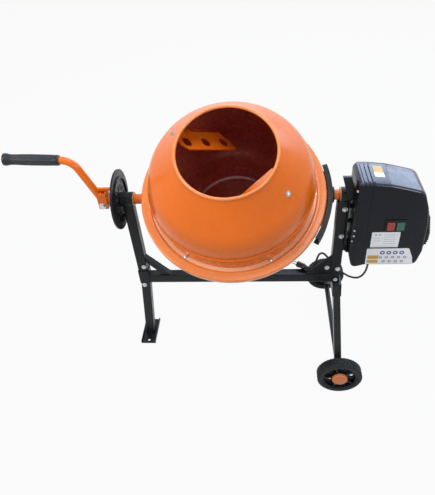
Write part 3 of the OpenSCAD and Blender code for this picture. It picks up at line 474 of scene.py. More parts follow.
# ---------- Power cord, made before the rest ----------
CORD_ROUTE = [
    (468, -20, 416), (468, -20, 392), (464, -20, 366), (454, -18, 342), (438, -12, 326), (418, 4, 316),
    (400, 24, 312), (380, 36, 320), (360, 38, 340), (344, 36, 368), (330, 34, 392), (316, 33, 408),
    (302, 31, 406), (294, 27, 386), (288, 19, 370), (276, 12, 358.5), (262, 6, 358.5),
]
CORD_R = 3.75
PLUG_HEADING = 147


def smooth_line(points, steps):
    """A smooth line through every point."""
    line = []
    for i in range(len(points) - 1):
        a, b, c, d = (Vector(points[min(max(k, 0), len(points) - 1)]) for k in (i - 1, i, i + 1, i + 2))
        for t in (k / steps for k in range(steps)):
            line.append(0.5 * (2 * b + (c - a) * t + (2 * a - 5 * b + 4 * c - d) * t * t
                               + (3 * b - a - 3 * c + d) * t * t * t))
    return line + [Vector(points[-1])]


def power_cord():
    """The cord as a round line along its route, and its plug."""
    line = [mm(*p) for p in smooth_line(CORD_ROUTE, 4)]
    curve = bpy.data.curves.new("cord_flex", "CURVE")
    curve.dimensions = "3D"
    curve.bevel_depth = CORD_R * MM
    curve.bevel_resolution = 5
    curve.use_fill_caps = True
    spline = curve.splines.new("POLY")
    spline.points.add(len(line) - 1)
    for point, place in zip(spline.points, line):
        point.co = (*place, 1)
    spline.use_smooth = True
    curve.materials.append(PAINT["cord_rubber"])
    ob = bpy.data.objects.new("cord_flex", curve)
    bpy.context.scene.collection.objects.link(ob)
    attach(ob, BODY_OF["power_cord"])
    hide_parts("power_cord")
    plug_body()


def plug_body():
    """A moulded plug: a ribbed neck, a waisted grip, a flat face, and two round pins."""
    place = (Matrix.Translation(mm(*CORD_ROUTE[-1])) @ Matrix.Rotation(math.radians(PLUG_HEADING), 4, "Z")
             @ Matrix.Rotation(math.radians(90), 4, "Y"))
    bm = bmesh.new()
    neck = [(0, 0), (5.2, 0), (6.2, 2), (5.6, 4), (7, 5), (7.2, 7), (6.4, 8.5), (8, 10), (8.2, 12), (7.6, 14)]
    grip = [(10.4, 17), (11.4, 22), (10.6, 30), (11.6, 40), (12, 43), (11.2, 46), (0, 46)]
    lathe(bm, neck + grip, place, 40, closed=False)
    for side in (-6, 6):
        pin = place @ Matrix.Translation((0, side * MM, 0))
        lathe(bm, [(0, 45), (2.3, 45), (2.3, 62.4), (1.9, 63.6), (0, 64)], pin, 18, mats=[1] * 4, closed=False)
    return piece("plug_moulding", bm, ["cord_rubber", "zinc_steel"], BODY_OF["cord_plug"],
                 ("cord_plug",), corner=40)


power_cord()


# ---------- Drum ----------
DRUM_BODY = BODY_OF["drum_cone"]
WALL_R, SHEET, BASE_W, FLAT_R, KNUCKLE_R, BOWL_R = 258, 2.5, -185, 150, 40, 208
SEAM_W, CONE_W, CONE_BEND_R, CONE_A, MOUTH_R, MOUTH_W, BEAD_R = 110, 120, 130, 42, 146, 294.3, 5
KNUCKLE_A = -53.47
SHAFT_HOLE_R = 26
BEAD_OUTSIDE = 13  # the first points of the mouth's bead, which show the outer paint in its paler copy, a painted sheen


def bowl_line(t):
    """The bowl's curve, from the flat base to the wall, set in by t."""
    return (arc(FLAT_R, BASE_W + KNUCKLE_R, KNUCKLE_R - t, -90, KNUCKLE_A, 10)
            + arc(WALL_R - BOWL_R, -10, BOWL_R - t, KNUCKLE_A, 0, 20)[1:])


def drum_basin():
    """The lower drum: a thin bowl with a flat base, a straight wall and the seam's lower half."""
    flange = arc(WALL_R + 2, SEAM_W - 3, 3, -90, 0, 4) + [(WALL_R + 5, SEAM_W)]
    outer = [(SHAFT_HOLE_R, BASE_W)] + bowl_line(0) + [(WALL_R, 60)] + flange
    inner = [(WALL_R - SHEET, SEAM_W)] + bowl_line(SHEET)[::-1] + [(SHAFT_HOLE_R, BASE_W + SHEET)]
    line = outer + inner
    mats = [0 if i < len(outer) - 1 else 1 for i in range(len(line))]
    bm = bmesh.new()
    lathe(bm, line, DRUM, 160, mats)
    piece("basin_shell", bm, ["orange_paint", "drum_inside"], DRUM_BODY, ("drum_basin",), corner=40)


def drum_cone():
    """The upper drum: the seam's upper half, a pressed ridge, the curved neck and a rolled mouth."""
    side = arc(WALL_R - CONE_BEND_R, CONE_W, CONE_BEND_R, 0, CONE_A, 24)
    bead = arc(MOUTH_R, MOUTH_W, BEAD_R, -39.8, 291, 20)
    step = [(WALL_R + 5, SEAM_W), (WALL_R + 5, SEAM_W + 1.5), (WALL_R + 3.4, SEAM_W + 3.4), (WALL_R, SEAM_W + 6)]
    swage = [(WALL_R, 128), (WALL_R + 1.2, 131), (WALL_R + 1.2, 133), (WALL_R - 1.2, 137)]
    rest = [p for p in side if p[1] > 140]
    inner = arc(WALL_R - CONE_BEND_R, CONE_W, CONE_BEND_R - SHEET, 0, CONE_A, 24)[::-1] + [(WALL_R - SHEET, SEAM_W)]
    line = step + swage + rest + bead + inner
    bead_from = len(step) + len(swage) + len(rest)
    inside_from = bead_from + BEAD_OUTSIDE
    # The bead's outer points take the paler orange, a painted sheen.
    mats = [1 if i >= inside_from else 2 if i >= bead_from else 0 for i in range(len(line))]
    mats[-1] = 0
    bm = bmesh.new()
    lathe(bm, line, DRUM, 160, mats)
    piece("cone_shell", bm, ["orange_paint", "drum_inside", "pale_orange_painted_sheen"], DRUM_BODY,
          ("drum_cone",), corner=40)


def ring_cover():
    """The sheet over the gear ring: a skirt, a rolled rim, and a gutter against the wall."""
    skirt = [(WALL_R, 33.5), (299, 33.5), (299.5, 20.4), (302, 20.4)] + arc(297, 34, 5, 0, 90, 6)
    gutter = [(288, 38.8), (280, 40.4), (274.5, 41), (272.4, 40.2), (271, 38.2), (270, 36.3), (264, 36)]
    line = skirt + gutter + [(WALL_R, 36)]
    bm = bmesh.new()
    # The gutter's floor takes the painted highlight; the skirt and the rim take the paler orange, a painted sheen.
    lathe(bm, line, DRUM, 192, [0] * (len(line) - 4) + [1, 1, 1, 0])
    piece("ring_cover_sheet", bm, ["pale_orange_painted_sheen", "gutter_painted_highlight"], DRUM_BODY, ("ring_cover",),
          corner=40)


def on_drum(r, w, degrees, spin, aim_r=0.0, aim_w=1.0):
    """A place on the drum at a radius, a height and an angle, and the turn of a bolt there."""
    a = math.radians(degrees)
    point = DRUM @ Vector((r * MM * math.cos(a), r * MM * math.sin(a), w * MM))
    return point, facing(DRUM.to_3x3() @ Vector((aim_r * math.cos(a), aim_r * math.sin(a), aim_w)), spin)


def drum_bolts():
    """The ring's bolts, with heads above and below it, and the paddles' bolts on the cone's slope."""
    size = {"Head Radius": 0.0048, "Head Height": 0.0042, "Washer Radius": 0.0054, "Washer Thickness": 0.0006}
    places = [on_drum(264.4, 36, 60 * k - 3, spin=11 * k) for k in range(6)]
    places += [on_drum(266.5, 17.5, 60 * k - 3, aim_w=-1, spin=17 * k) for k in range(6)]
    grown("ring_bolt_heads", BOLTS, places, size, "zinc_steel", DRUM_BODY, ("ring_bolts",))
    a = math.radians(CONE_A)
    heads = []
    for turn, along in ((150, 54), (328, 38)):
        r = WALL_R - CONE_BEND_R * (1 - math.cos(a)) - along * math.sin(a)
        w = CONE_W + CONE_BEND_R * math.sin(a) + along * math.cos(a)
        heads.append(on_drum(r + 0.2, w + 0.2, turn, spin=20, aim_r=math.cos(a), aim_w=math.sin(a)))
    size = {"Head Radius": 0.0062, "Head Height": 0.0045, "Washer Radius": 0.0084, "Washer Thickness": 0.0014}
    grown("paddle_bolt_heads", BOLTS, heads, size, "zinc_steel", DRUM_BODY, ("paddle_bolts",))


def hub_cover():
    """The pressed cap over the shaft's end, with its six bolts round it."""
    base = BASE_W + SHEET
    bm = bmesh.new()
    line = [(38, 0.2), (38, 3)] + arc(32, 4, 5.6, 0, 50, 4) + arc(28, 16, 7.6, 20, 90, 6) + [(0, 24)]
    lathe(bm, [(r, base + w) for r, w in line], DRUM, 64, closed=False)
    piece("hub_cap", bm, ["drum_inside"], DRUM_BODY, ("hub_cover",), corner=50)
    size = {"Head Radius": 0.0065, "Head Height": 0.0048, "Washer Radius": 0.0084, "Washer Thickness": 0.0014}
    places = [on_drum(60, base, 60 * k, spin=13 * k) for k in range(6)]
    grown("hub_bolt_heads", BOLTS, places, size, "zinc_steel", DRUM_BODY)


drum_basin()
drum_cone()
ring_cover()
drum_bolts()
hub_cover()
for blade in ("left_paddle", "right_paddle"):
    worked(blade, 0.0007)
for name in ("drum_hub", "ring_gear", "gear_guard", "yoke", "yoke_shaft", "shaft_nut"):
    worked(name, 0.0006)


# ---------- Stand ----------
STAND = BODY_OF["crossbar"]
AXIS_Z = TILT_AT.z / MM


def square_section(width, r):
    """A square with rounded corners, as (a, b) points: each corner, and then the side that follows it."""
    steps = 6
    points = []
    for k, (sa, sb) in enumerate(((1, 1), (-1, 1), (-1, -1), (1, -1))):
        ca, cb = sa * (width / 2 - r), sb * (width / 2 - r)
        corner = arc(ca, cb, r, 90 * k, 90 * k + 90, 4)
        end_a, end_b = corner[-1]
        span_a = -2 * ca if k % 2 == 0 else 0
        span_b = -2 * cb if k % 2 == 1 else 0
        points += corner + [(end_a + span_a * i / steps, end_b + span_b * i / steps) for i in range(1, steps)]
    return points


def loft(name, rings, replaces, inner=None):
    """A black tube skinned over rings of points; its ends are closed, or joined to an inner skin."""
    bm = bmesh.new()
    loops = [ring_of(bm, r) for r in rings]
    for a, b in zip(loops, loops[1:]):
        bridge(bm, a, b)
    if inner:
        inside = [ring_of(bm, r) for r in inner]
        for a, b in zip(inside, inside[1:]):
            bridge(bm, a, b)
        bridge(bm, loops[-1], inside[0])
        bridge(bm, loops[0], inside[-1])
    else:
        bm.faces.new(loops[0])
        bm.faces.new(loops[-1])
    piece(name, bm, ["black_paint"], STAND, replaces)


TUBE_W = size_of("crossbar")[5] - size_of("crossbar")[2]
TUBE_R = 2.6
BEARING_R = 25
TUBE_SECTION = square_section(TUBE_W, TUBE_R)


def post(side):
    """A square tube whose top is cut to sit round the bearing."""
    x0, _, z0, x1, _, _ = size_of(side + "_post")
    middle = (x0 + x1) / 2
    top = [mm(middle + a, b, AXIS_Z - math.sqrt(BEARING_R ** 2 - b ** 2) + 0.2) for a, b in TUBE_SECTION]
    rings = [[mm(middle + a, b, z) for a, b in TUBE_SECTION] for z in (z0, z0 + 60, z0 + 240, AXIS_Z - 60)]
    loft(side + "_post_tube", rings + [top], (side + "_post",))


def crossbar():
    x0, _, z0, x1, _, z1 = size_of("crossbar")
    rings = [[mm(x, a, (z0 + z1) / 2 + b) for a, b in TUBE_SECTION] for x in (x0, x0 / 3, x1 / 3, x1)]
    loft("crossbar_tube", rings, ("crossbar",))


def splayed_leg():
    """The splayed leg, and the sleeve on top that takes the post."""
    _, y0, z0, _, y1, z1 = size_of("left_leg")
    sleeve_w = y1 - y0
    bar_bottom = size_of("crossbar")[2]
    post_x = (size_of("left_post")[0] + size_of("left_post")[3]) / 2
    foot_x = (size_of("foot_plate")[0] + size_of("foot_plate")[3]) / 2
    rings = []
    for t in (0, 0.02, 0.5, 1):
        middle = foot_x + (post_x - foot_x) * t
        rings.append([mm(middle + a, b, z0 + (bar_bottom + 2 - z0) * t) for a, b in TUBE_SECTION])
    loft("splayed_leg_tube", rings, ())
    wide = square_section(sleeve_w, TUBE_R + 1)
    slim = square_section(sleeve_w - 0.8, TUBE_R + 1)
    hole = square_section(TUBE_W + 0.3, TUBE_R)
    outer = [[mm(post_x + a, b, z) for a, b in s] for s, z in
             ((slim, bar_bottom), (wide, bar_bottom + 0.5), (wide, z1 - 0.5), (slim, z1))]
    inner = [[mm(post_x + a, b, z) for a, b in hole] for z in (z1, bar_bottom)]
    loft("post_sleeve", outer, ("left_leg",), inner)


def frame_bolts():
    """The bolts in the stand's front faces, and three in the motor bracket behind the right post."""
    _, _, bar_bottom, post_in, _, bar_top = size_of("crossbar")
    post_mid, post_out = post_in + TUBE_W / 2, post_in + TUBE_W
    front = [(-post_in - 10, bar_top + 48), (-post_mid - 6, bar_bottom - 12), (post_mid + 8, AXIS_Z - 48),
             (post_mid + 6, AXIS_Z - 162), (post_mid + 2, bar_bottom + 10), (post_mid + 6, bar_top + 30)]
    places = [(mm(x, -TUBE_W / 2, z), facing((0, -1, 0), 17 * k)) for k, (x, z) in enumerate(front)]
    places.append((mm(post_in - 14, -14, bar_top + 34), facing((0, -1, 0), 8)))
    places += [(mm(post_out, 34, AXIS_Z + z), facing((-1, 0, 0), 9)) for z in (-138, -160, -184)]
    size = {"Head Radius": 0.0068, "Head Height": 0.0046, "Washer Radius": 0.0090, "Washer Thickness": 0.0014}
    grown("frame_bolt_heads", BOLTS, places, size, "zinc_steel", STAND, ("frame_bolts",))


post("left")
post("right")
crossbar()
splayed_leg()
frame_bolts()
for name in ("foot_plate", "left_brace", "right_gusset", "leg_bracket", "front_wheel_leg", "rear_wheel_leg",
             "motor_bracket"):
    worked(name, 0.0011, segments=3)
for name in ("axis_bearings", "bearing_bushes", "locking_disc", "handle_pin", "handle_clevis", "lock_pawl"):
    worked(name, 0.0007)
worked("wheel_axle", 0.0007, mat="dark_steel")


# ---------- Wheels ----------
TREAD_BLOCKS = 40


def wheel(side):
    """A tyre with its tread, a rim and a domed cap."""
    x0, y0, z0, x1, y1, z1 = size_of(side + "_tyre")
    out = -1 if side == "front" else 1
    middle = Matrix.Translation(mm((x0 + x1) / 2, (y0 + y1) / 2, (z0 + z1) / 2))
    place = middle @ Matrix.Rotation(math.radians(-90 * out), 4, "X")
    body = BODY_OF[side + "_tyre"]
    r, w, rim = (z1 - z0) / 2, (y1 - y0) / 2, (z1 - z0) / 2 - 18
    bm = bmesh.new()
    wall = [(rim, w - 4), (rim + 1.5, w - 1.2), (rim + 4, w)] + arc(r - 8, w - 6, 6, 90, 30, 5)
    crown = [(r - 1.7, w - 9), (r - 1.7, 5), (r - 2.6, 4.2), (r - 2.6, 3.4), (r - 1.7, 2.6)]
    half_line = wall + crown
    line = half_line + [(a, -b) for a, b in half_line[::-1]]
    lathe(bm, line, place, 96)
    piece(side + "_tyre_case", bm, ["tyre_rubber"], body, (side + "_tyre",), corner=38)
    blocks = []
    for row, across in ((0, -11), (1, 0), (2, 11)):
        for k in range(TREAD_BLOCKS):
            a = 360 * (k + 0.5 * (row % 2)) / TREAD_BLOCKS
            turn = Matrix.Rotation(math.radians(a), 4, "Y")
            point = middle @ turn @ Vector((0, across * MM, (r - 2.0) * MM))
            skew = turn @ Matrix.Rotation(math.radians(18 * (row - 1)), 4, "Z")
            blocks.append((point, skew.to_euler()))
    size = {"Length": 0.0082, "Width": 0.0092, "Height": 0.0018}
    grown(side + "_tread", BLOCKS, blocks, size, "tyre_rubber", body)
    worked(side + "_rim", 0.0008)
    cap_low = size_of(side + "_hub_cap")
    reach = abs((cap_low[1] if out < 0 else cap_low[4]) - (y0 + y1) / 2)
    dome = arc(24.5, w + 1.8, 2.5, 0, 70, 4) + [(19, reach - 0.3), (10, reach), (0, reach)]
    cap = [(24, w - 6), (27, w - 6), (27, w + 1.6)] + dome
    bm = bmesh.new()
    lathe(bm, cap, place, 64, closed=False)
    piece(side + "_cap_dome", bm, ["orange_plastic"], BODY_OF[side + "_hub_cap"],
          (side + "_hub_cap",), corner=45)


wheel("front")
wheel("rear")


# ---------- Handle ----------
HANDLE = BODY_OF["handle_tube"]
LEAN, GRIP_RISE, BEND_R, HANDLE_R, GRIP_START = 23, 3, 60, 12.5, 39


def handle():
    """The crank: a tube that leaves its pivot, bends, and runs on into the grip."""
    pin = size_of("handle_pin")
    pivot = Vector(((pin[0] + pin[3]) / 2, 0, (pin[2] + pin[5]) / 2))
    up = Vector((-math.sin(math.radians(LEAN)), 0, math.cos(math.radians(LEAN))))
    out = Vector((-math.cos(math.radians(GRIP_RISE)), 0, math.sin(math.radians(GRIP_RISE))))
    grip_box = size_of("handle_grip")
    # The crank's line from the pivot meets the grip's own line at the corner
    rise = out.z / out.x
    end = Vector((grip_box[0], 0, (grip_box[2] + grip_box[5]) / 2 + (grip_box[0] - grip_box[3]) / 2 * rise))
    t = (end.z - pivot.z + (pivot.x - end.x) * rise) / (up.z - up.x * rise)
    corner = pivot + t * up
    turn = math.radians(90 - LEAN - GRIP_RISE)
    tangent = BEND_R * math.tan(turn / 2)
    start = corner - tangent * up
    centre = start + BEND_R * Vector((-up.z, 0, up.x))
    line = [pivot + 8 * up, pivot + (start - pivot) * 0.5, start]
    for k in range(1, 17):
        a = turn * k / 16
        arm = Vector((up.z, 0, -up.x)) * math.cos(a) + up * math.sin(a)
        line.append(centre + BEND_R * arm)
    line.append(end - out * 14)
    bm = bmesh.new()
    tube(bm, [mm(*p) for p in line], HANDLE_R * MM, 40)
    place = Matrix.Translation(mm(pivot.x, 0, pivot.z)) @ Matrix.Rotation(math.radians(-90), 4, "X")
    lathe(bm, [(6.2, -6), (12.4, -6), (13, -5.4), (13, 15.4), (12.4, 16), (6.2, 16)], place, 48)
    piece("crank_tube", bm, ["orange_paint"], HANDLE, ("handle_tube",), corner=40)
    grip(corner, out)


def grip(corner, out):
    """A sleeve with a fat barrel, shallow flutes along it, a waist and a flared end."""
    shape = [(0, 15.2), (1.5, 16.6), (5, 17.4), (14, 17.6), (45, 18.2), (95, 18.5), (125, 18.0), (145, 17.2),
             (160, 17.2), (168, 18.4), (174, 20.0), (179, 20.5), (184, 20.2), (186.2, 18.6), (187.0, 15.5)]
    length = shape[-1][0]
    place = Matrix.Translation(mm(corner.x, 0, corner.z)) @ out.to_track_quat("Z", "Y").to_matrix().to_4x4()
    steps, rows, flutes = 96, 78, 16
    bm = bmesh.new()
    loops = []
    for i in range(rows + 1):
        s = length * i / rows
        k = max(j for j in range(len(shape)) if shape[j][0] <= s)
        a, b = shape[k], shape[min(k + 1, len(shape) - 1)]
        r = a[1] if a == b else a[1] + (b[1] - a[1]) * (s - a[0]) / (b[0] - a[0])
        depth = 0.55 * min(1, max(0, (s - 10) / 12)) * min(1, max(0, (162 - s) / 10))
        ring = []
        for q in (2 * math.pi * n / steps for n in range(steps)):
            fluted = (r + depth * (math.cos(flutes * q) - 1)) * MM
            ring.append(place @ Vector((fluted * math.cos(q), fluted * math.sin(q), (GRIP_START + s) * MM)))
        loops.append(ring_of(bm, ring))
    for a, b in zip(loops, loops[1:]):
        bridge(bm, a, b)
    bm.faces.new(loops[-1])
    bm.faces.new(loops[0])
    piece("grip_sleeve", bm, ["grip_rubber"], BODY_OF["handle_grip"], ("handle_grip",), corner=40)


handle()


# ---------- Motor housing ----------
BACK_X = size_of("housing_back")[0]
END_X = BACK_X + 226
FLOOR_Z = size_of("housing_cover")[2]
TOP_Z = AXIS_Z + 86
SPLIT_X = size_of("housing_back")[3]
FACE_Y, REAR_Y = size_of("housing_cover")[1], size_of("housing_cover")[4]
SHELL = [
    (BACK_X + 11, FLOOR_Z - 14), (BACK_X + 52, FLOOR_Z), (END_X - 2, FLOOR_Z), (END_X + 11, FLOOR_Z + 58),
    (END_X + 9, AXIS_Z - 76), (END_X - 1, AXIS_Z - 12), (END_X - 20, TOP_Z - 43), (END_X - 34, TOP_Z - 32),
    (END_X - 80, TOP_Z - 19), (BACK_X + 100, TOP_Z - 7), (BACK_X + 40, TOP_Z), (BACK_X + 10, TOP_Z + 1),
    (BACK_X, TOP_Z - 10), (BACK_X, FLOOR_Z + 40),
]
VENT = [
    (END_X - 6, AXIS_Z - 22), (END_X + 13, AXIS_Z - 36), (END_X + 29, AXIS_Z - 127), (END_X + 29, AXIS_Z - 158),
    (END_X + 20, FLOOR_Z + 56), (END_X - 6, FLOOR_Z + 38),
]
# The housing's black plastic, then its navy copy, a painted sky reflection on faces that look up.
HOUSING_PAINT_AND_SHEEN = ["housing_plastic", "hood_painted_sky_sheen"]
PAINTED_SHEEN_SLOPE = 0.3  # faces that look up by more than this take the navy base colour, a painted sky reflection


def filleted(points, r, steps=4):
    """A closed outline whose corners are rounded by r, or by as much as the sides allow."""
    out = []
    for i, p in enumerate(points):
        p, a, b = Vector(p), Vector(points[i - 1]), Vector(points[(i + 1) % len(points)])
        u, v = a - p, b - p
        cut = min(0.45 * u.length, 0.45 * v.length, r / math.tan(u.angle(v) / 2))
        start, end = p + u.normalized() * cut, p + v.normalized() * cut
        for t in (k / steps for k in range(steps + 1)):
            out.append((1 - t) ** 2 * start + 2 * t * (1 - t) * p + t * t * end)
    return out


def moulding(outline, y0, y1, r0, r1):
    """An outline in the X-Z plane drawn from y0 to y1, with its front and back edges rounded."""
    low = Vector((min(p.x for p in outline), min(p.y for p in outline)))
    high = Vector((max(p.x for p in outline), max(p.y for p in outline)))
    middle, reach = (low + high) / 2, (high - low) / 2
    opening = [math.radians(18 * k) for k in range(6)]
    closing = [math.radians(15 * k) for k in range(6, -1, -1)]
    front = [(y0 + r0 * (1 - math.cos(t)), r0 * (1 - math.sin(t))) for t in opening]
    back = [(y1 - r1 * (1 - math.cos(t)), r1 * (1 - math.sin(t))) for t in closing]
    bm = bmesh.new()
    loops = []
    for y, inset in front + back:
        loops.append(ring_of(bm, [
            mm(middle.x + (p.x - middle.x) * (1 - inset / reach.x), y,
               middle.y + (p.y - middle.y) * (1 - inset / reach.y)) for p in outline
        ]))
    for a, b in zip(loops, loops[1:]):
        bridge(bm, a, b)
    bm.faces.new(loops[0])
    bm.faces.new(loops[-1])
    bmesh.ops.recalc_face_normals(bm, faces=bm.faces)
    bm.normal_update()
    # Faces that look up take the second material, the navy painted sky reflection.
    for f in bm.faces:
        f.material_index = int(f.normal.z > PAINTED_SHEEN_SLOPE)
    return bm


def kept_between(bm, low, high):
    """Cuts the mesh to the slab between two X planes, and closes the cuts. None leaves a side uncut."""
    for x, side in ((low, -1), (high, 1)):
        if x is None:
            continue
        cut = bmesh.ops.bisect_plane(bm, geom=bm.verts[:] + bm.edges[:] + bm.faces[:], plane_co=mm(x, 0, 0),
                                     plane_no=(side, 0, 0), clear_outer=True)
        bmesh.ops.edgeloop_fill(bm, edges=[e for e in cut["geom_cut"] if isinstance(e, bmesh.types.BMEdge)])
    return bm


def carved(ob, boxes):
    """Cuts boxes out of the piece; each box is two corners in millimetres."""
    bm = bmesh.new()
    for low, high in boxes:
        a, b = mm(*low), mm(*high)
        bmesh.ops.create_cube(bm, size=1.0, matrix=Matrix.Translation((a + b) / 2) @ Matrix.Diagonal((*(b - a), 1)))
    cutter_mesh = bpy.data.meshes.new("cutter")
    bm.to_mesh(cutter_mesh)
    bm.free()
    cutter = bpy.data.objects.new("cutter", cutter_mesh)
    bpy.context.scene.collection.objects.link(cutter)
    mod = ob.modifiers.new("cut", "BOOLEAN")
    mod.object = cutter
    mod.solver = "EXACT"
    mod.operation = "DIFFERENCE"
    mesh = bpy.data.meshes.new_from_object(ob.evaluated_get(bpy.context.evaluated_depsgraph_get()))
    ob.modifiers.clear()
    ob.data = mesh
    bpy.data.objects.remove(cutter)
    sharp(mesh, HARD_ANGLE)


def joined(parts):
    """Several meshes as one."""
    whole = bmesh.new()
    for part in parts:
        mesh = bpy.data.meshes.new("part")
        part.to_mesh(mesh)
        part.free()
        whole.from_mesh(mesh)
        bpy.data.meshes.remove(mesh)
    return whole


def housing():
    """The shell in two halves, the ribbed collar, the side vent with its louvres, and the cover's screws."""
    outline = filleted(SHELL, 22)
    back = kept_between(moulding(outline, FACE_Y, REAR_Y, 9, 26), None, SPLIT_X - 0.4)
    collar = filleted([(x, z + 4) for x, z in SHELL], 20)
    ribs = [
        kept_between(moulding(collar, FACE_Y + 1, REAR_Y - 18, 9, 24), BACK_X + 5 + 13 * k, BACK_X + 12 + 13 * k)
        for k in range(4)
    ]
    piece("housing_back_shell", joined([back] + ribs), HOUSING_PAINT_AND_SHEEN, STAND, ("housing_back",),
          bevel=0.0008)
    cover = kept_between(moulding(outline, FACE_Y, REAR_Y, 9, 26), SPLIT_X + 0.4, None)
    shell = piece("housing_cover_shell", cover, HOUSING_PAINT_AND_SHEEN, STAND, ("housing_cover",))
    x0, _, z0, x1, y1, z1 = size_of("switch_box")
    carved(shell, [((x0 + 3, FACE_Y - 5, z0 + 3), (x1 - 3, y1 + 1, z1 - 3))])
    vent = moulding(filleted([(x - 4, z) for x, z in VENT], 8), -52, 44, 3, 5)
    piece("vent_box", vent, HOUSING_PAINT_AND_SHEEN, STAND)
    rows = []
    for z in (FLOOR_Z + 74 + 9 * k for k in range(15)):
        # The vent's face leans out downwards to 158 mm under the axis, and in again below that
        if z > AXIS_Z - 158:
            x = END_X + 13 + 16 * min(1, max(0, (z - AXIS_Z + 36) / -91))
        else:
            x = END_X + 29 - 9 * (AXIS_Z - 158 - z) / 32
        if z < AXIS_Z - 58:
            rows.append((mm(x - 5.5, -4, z), facing((1, 0, 0), 90)))
    size = {"Length": 0.0045, "Width": 0.094, "Height": 0.0055}
    grown("vent_louvres", BLOCKS, rows, size, "housing_plastic", STAND)
    turned = facing((-0.4, -0.9, 0))
    screws = [(mm(*p), turned) for p in ((389, -71, 751), (394.6, -73, 599), (394.8, -73, 577), (392, -70, 553))]
    size = {"Head Radius": 0.0034, "Head Height": 0.0024, "Washer Radius": 0.0038, "Washer Thickness": 0.0004}
    grown("housing_screws", BOLTS, screws, size, "zinc_steel", STAND)


housing()
for name in ("switch_box", "stop_button", "start_button"):
    worked(name, 0.0010, segments=3)
worked("cord_gland", 0.0005)


# ---------- Labels: plain plates with blank marks ----------
def plate(name, corners, replaces=()):
    """A thin plate on the housing's front face."""
    outline = filleted(corners, 3, 3)
    bm = bmesh.new()
    loops = [ring_of(bm, [mm(p.x, y, p.y) for p in outline]) for y in (FACE_Y - 0.6, FACE_Y)]
    bridge(bm, *loops)
    for loop in loops:
        bm.faces.new(loop)
    piece(name, bm, ["label_film"], STAND, replaces)


def marks(name, x, z, count, pitch, r, mat, hole=0.4):
    """A row of flat printed rings."""
    bm = bmesh.new()
    for k in range(count):
        place = Matrix.Translation(mm(x + k * pitch, FACE_Y - 0.5, z)) @ Matrix.Rotation(math.radians(90), 4, "X")
        lathe(bm, [(hole * r, 0), (r, 0), (r, 0.2), (hole * r, 0.2)], place, 24)
    piece(name, bm, [mat], STAND)


def bars(name, rows, mat):
    """Blank printed bars: each is a left end, a middle height, a length and a height."""
    bm = bmesh.new()
    for x, z, long, high in rows:
        low, top = mm(x, FACE_Y - 0.7, z - high / 2), mm(x + long, FACE_Y - 0.5, z + high / 2)
        size = Matrix.Diagonal((*(top - low), 1))
        bmesh.ops.create_cube(bm, size=1.0, matrix=Matrix.Translation((low + top) / 2) @ size)
    piece(name, bm, [mat], STAND)


def labels():
    """The rating and notice plates, each with its blank marks."""
    x, low, high = BACK_X + 63, AXIS_Z - 164, AXIS_Z - 100
    plate("rating_plate", [(x, low), (x + 90, low), (x + 90, high), (x, high)], ("label_plates",))
    bars("rating_lines", [(x + 40, high - 12 - 9 * k, 42 - 7 * (k % 2), 1.2) for k in range(5)]
         + [(x + 9, high - 24, 22, 1.2), (x + 9, high - 36, 22, 1.2), (x + 4, low + 5, 82, 1.0)], "label_grey")
    marks("rating_marks", x + 13, high - 11, 2, 12, 3.4, "label_grey")
    x, low, high = BACK_X + 55, FLOOR_Z + 7, AXIS_Z - 170
    plate("notice_plate", [(x, low), (x + 158, low), (x + 151, low + 32), (x + 136, high), (x, high)])
    marks("blue_marks", x + 52, high - 18, 4, 21, 8.0, "label_blue", 0.45)
    marks("small_marks", x + 48, high - 39, 5, 20, 5.6, "label_grey")
    marks("lower_marks", x + 60, high - 57, 4, 20, 5.6, "label_grey")
    bars("yellow_blocks", [(x + 5, high - 38, 36, 16), (x + 5, high - 57, 36, 14)], "label_yellow")


def hood_label(name, y0, y1, mat):
    """A thin film on the hood, which follows its slope."""
    bm = bmesh.new()
    x0, x1 = BACK_X + 56, BACK_X + 86
    edge = [(x0, y0), (x1, y0), (x1, y1), (x0, y1)]
    rows = []
    for lift in (0.5, 0.1):
        rows.append(ring_of(bm, [mm(x, y, TOP_Z - 7 * (x - BACK_X - 40) / 60 + lift) for x, y in edge]))
    bridge(bm, *rows)
    for row in rows:
        bm.faces.new(row)
    piece(name, bm, [mat], STAND)


labels()
hood_label("hood_mark_upper", -6, 34, "label_yellow")
hood_label("hood_mark_lower", -30, -6, "label_film")


# ---------- Studio ----------
def lamp(name, place, aim, power, size, colour=(1, 1, 1)):
    data = bpy.data.lights.new(name, "AREA")
    data.energy = power
    data.size = size
    data.color = colour
    ob = bpy.data.objects.new(name, data)
    ob.location = place
    ob.rotation_euler = (Vector(aim) - Vector(place)).to_track_quat("-Z", "Y").to_euler()
    bpy.context.scene.collection.objects.link(ob)


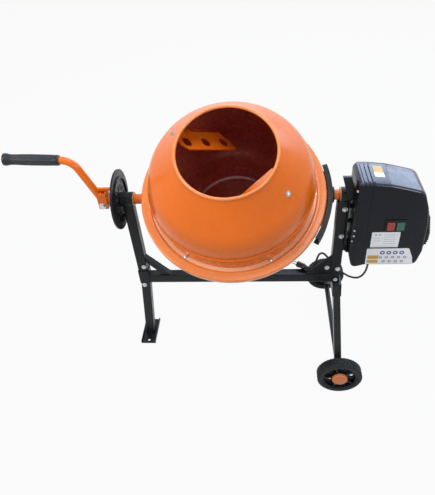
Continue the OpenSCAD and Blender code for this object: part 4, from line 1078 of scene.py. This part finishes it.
lamp("key_softbox", (-2.4, -1.6, 2.6), (0, 0, 0.6), 68, 1.5)
lamp("fill_softbox", (2.2, -2.2, 2.2), (0, 0, 0.6), 32, 1.2)
lamp("top_softbox", (0.2, -0.4, 3.6), (0, 0, 0.7), 40, 1.6)
lamp("sky_panel", (0.6, 2.8, 2.7), (0, 0, 0.7), 80, 2.2, (0.60, 0.74, 1.0))
lamp("side_panel", (2.5, 2.5, 2.1), (0.4, 0, 0.75), 34, 1.5, (0.60, 0.74, 1.0))


def background_rays(tree):
    """1 for the rays that show the background itself, seen straight, mirrored or through glass."""
    path = node(tree, "ShaderNodeLightPath")
    seen = math_node(tree, "MAXIMUM", path.outputs["Is Camera Ray"], path.outputs["Is Glossy Ray"])
    return math_node(tree, "MAXIMUM", seen, path.outputs["Is Transmission Ray"])


WORLD_LIGHT = 0.26
GLOW_SHARE = 0.94
world = bpy.data.worlds.new("studio")
bpy.context.scene.world = world
world.use_nodes = True
background = world.node_tree.nodes["Background"]
background.inputs["Color"].default_value = (1, 1, 1, 1)
world.node_tree.links.new(span(world.node_tree, background_rays(world.node_tree), 0, 1, WORLD_LIGHT, 1.0),
                          background.inputs["Strength"])


def floor():
    """A pale floor that reads nearly white, and keeps the mixer's shadow."""
    reach, level = 9, -0.0005
    corners = [(-reach, -reach, level), (reach, -reach, level), (reach, reach, level), (-reach, reach, level)]
    mesh = bpy.data.meshes.new("floor")
    mesh.from_pydata(corners, [], [(0, 1, 2, 3)])
    ob = bpy.data.objects.new("floor", mesh)
    bpy.context.scene.collection.objects.link(ob)
    m, tree, shader = material("floor")
    shader.inputs["Base Color"].default_value = (0.34, 0.34, 0.34, 1)
    shader.inputs["Roughness"].default_value = 0.9
    glow = node(tree, "ShaderNodeEmission", Strength=1.0)
    blend = node(tree, "ShaderNodeMixShader")
    wire(tree, [
        (math_node(tree, "MULTIPLY", background_rays(tree), GLOW_SHARE), blend.inputs["Fac"]),
        (shader.outputs[0], blend.inputs[1]), (glow.outputs[0], blend.inputs[2]),
        (blend.outputs[0], tree.nodes["Material Output"].inputs["Surface"]),
    ])
    mesh.materials.append(m)


floor()
bpy.context.scene.view_settings.view_transform = "Standard"
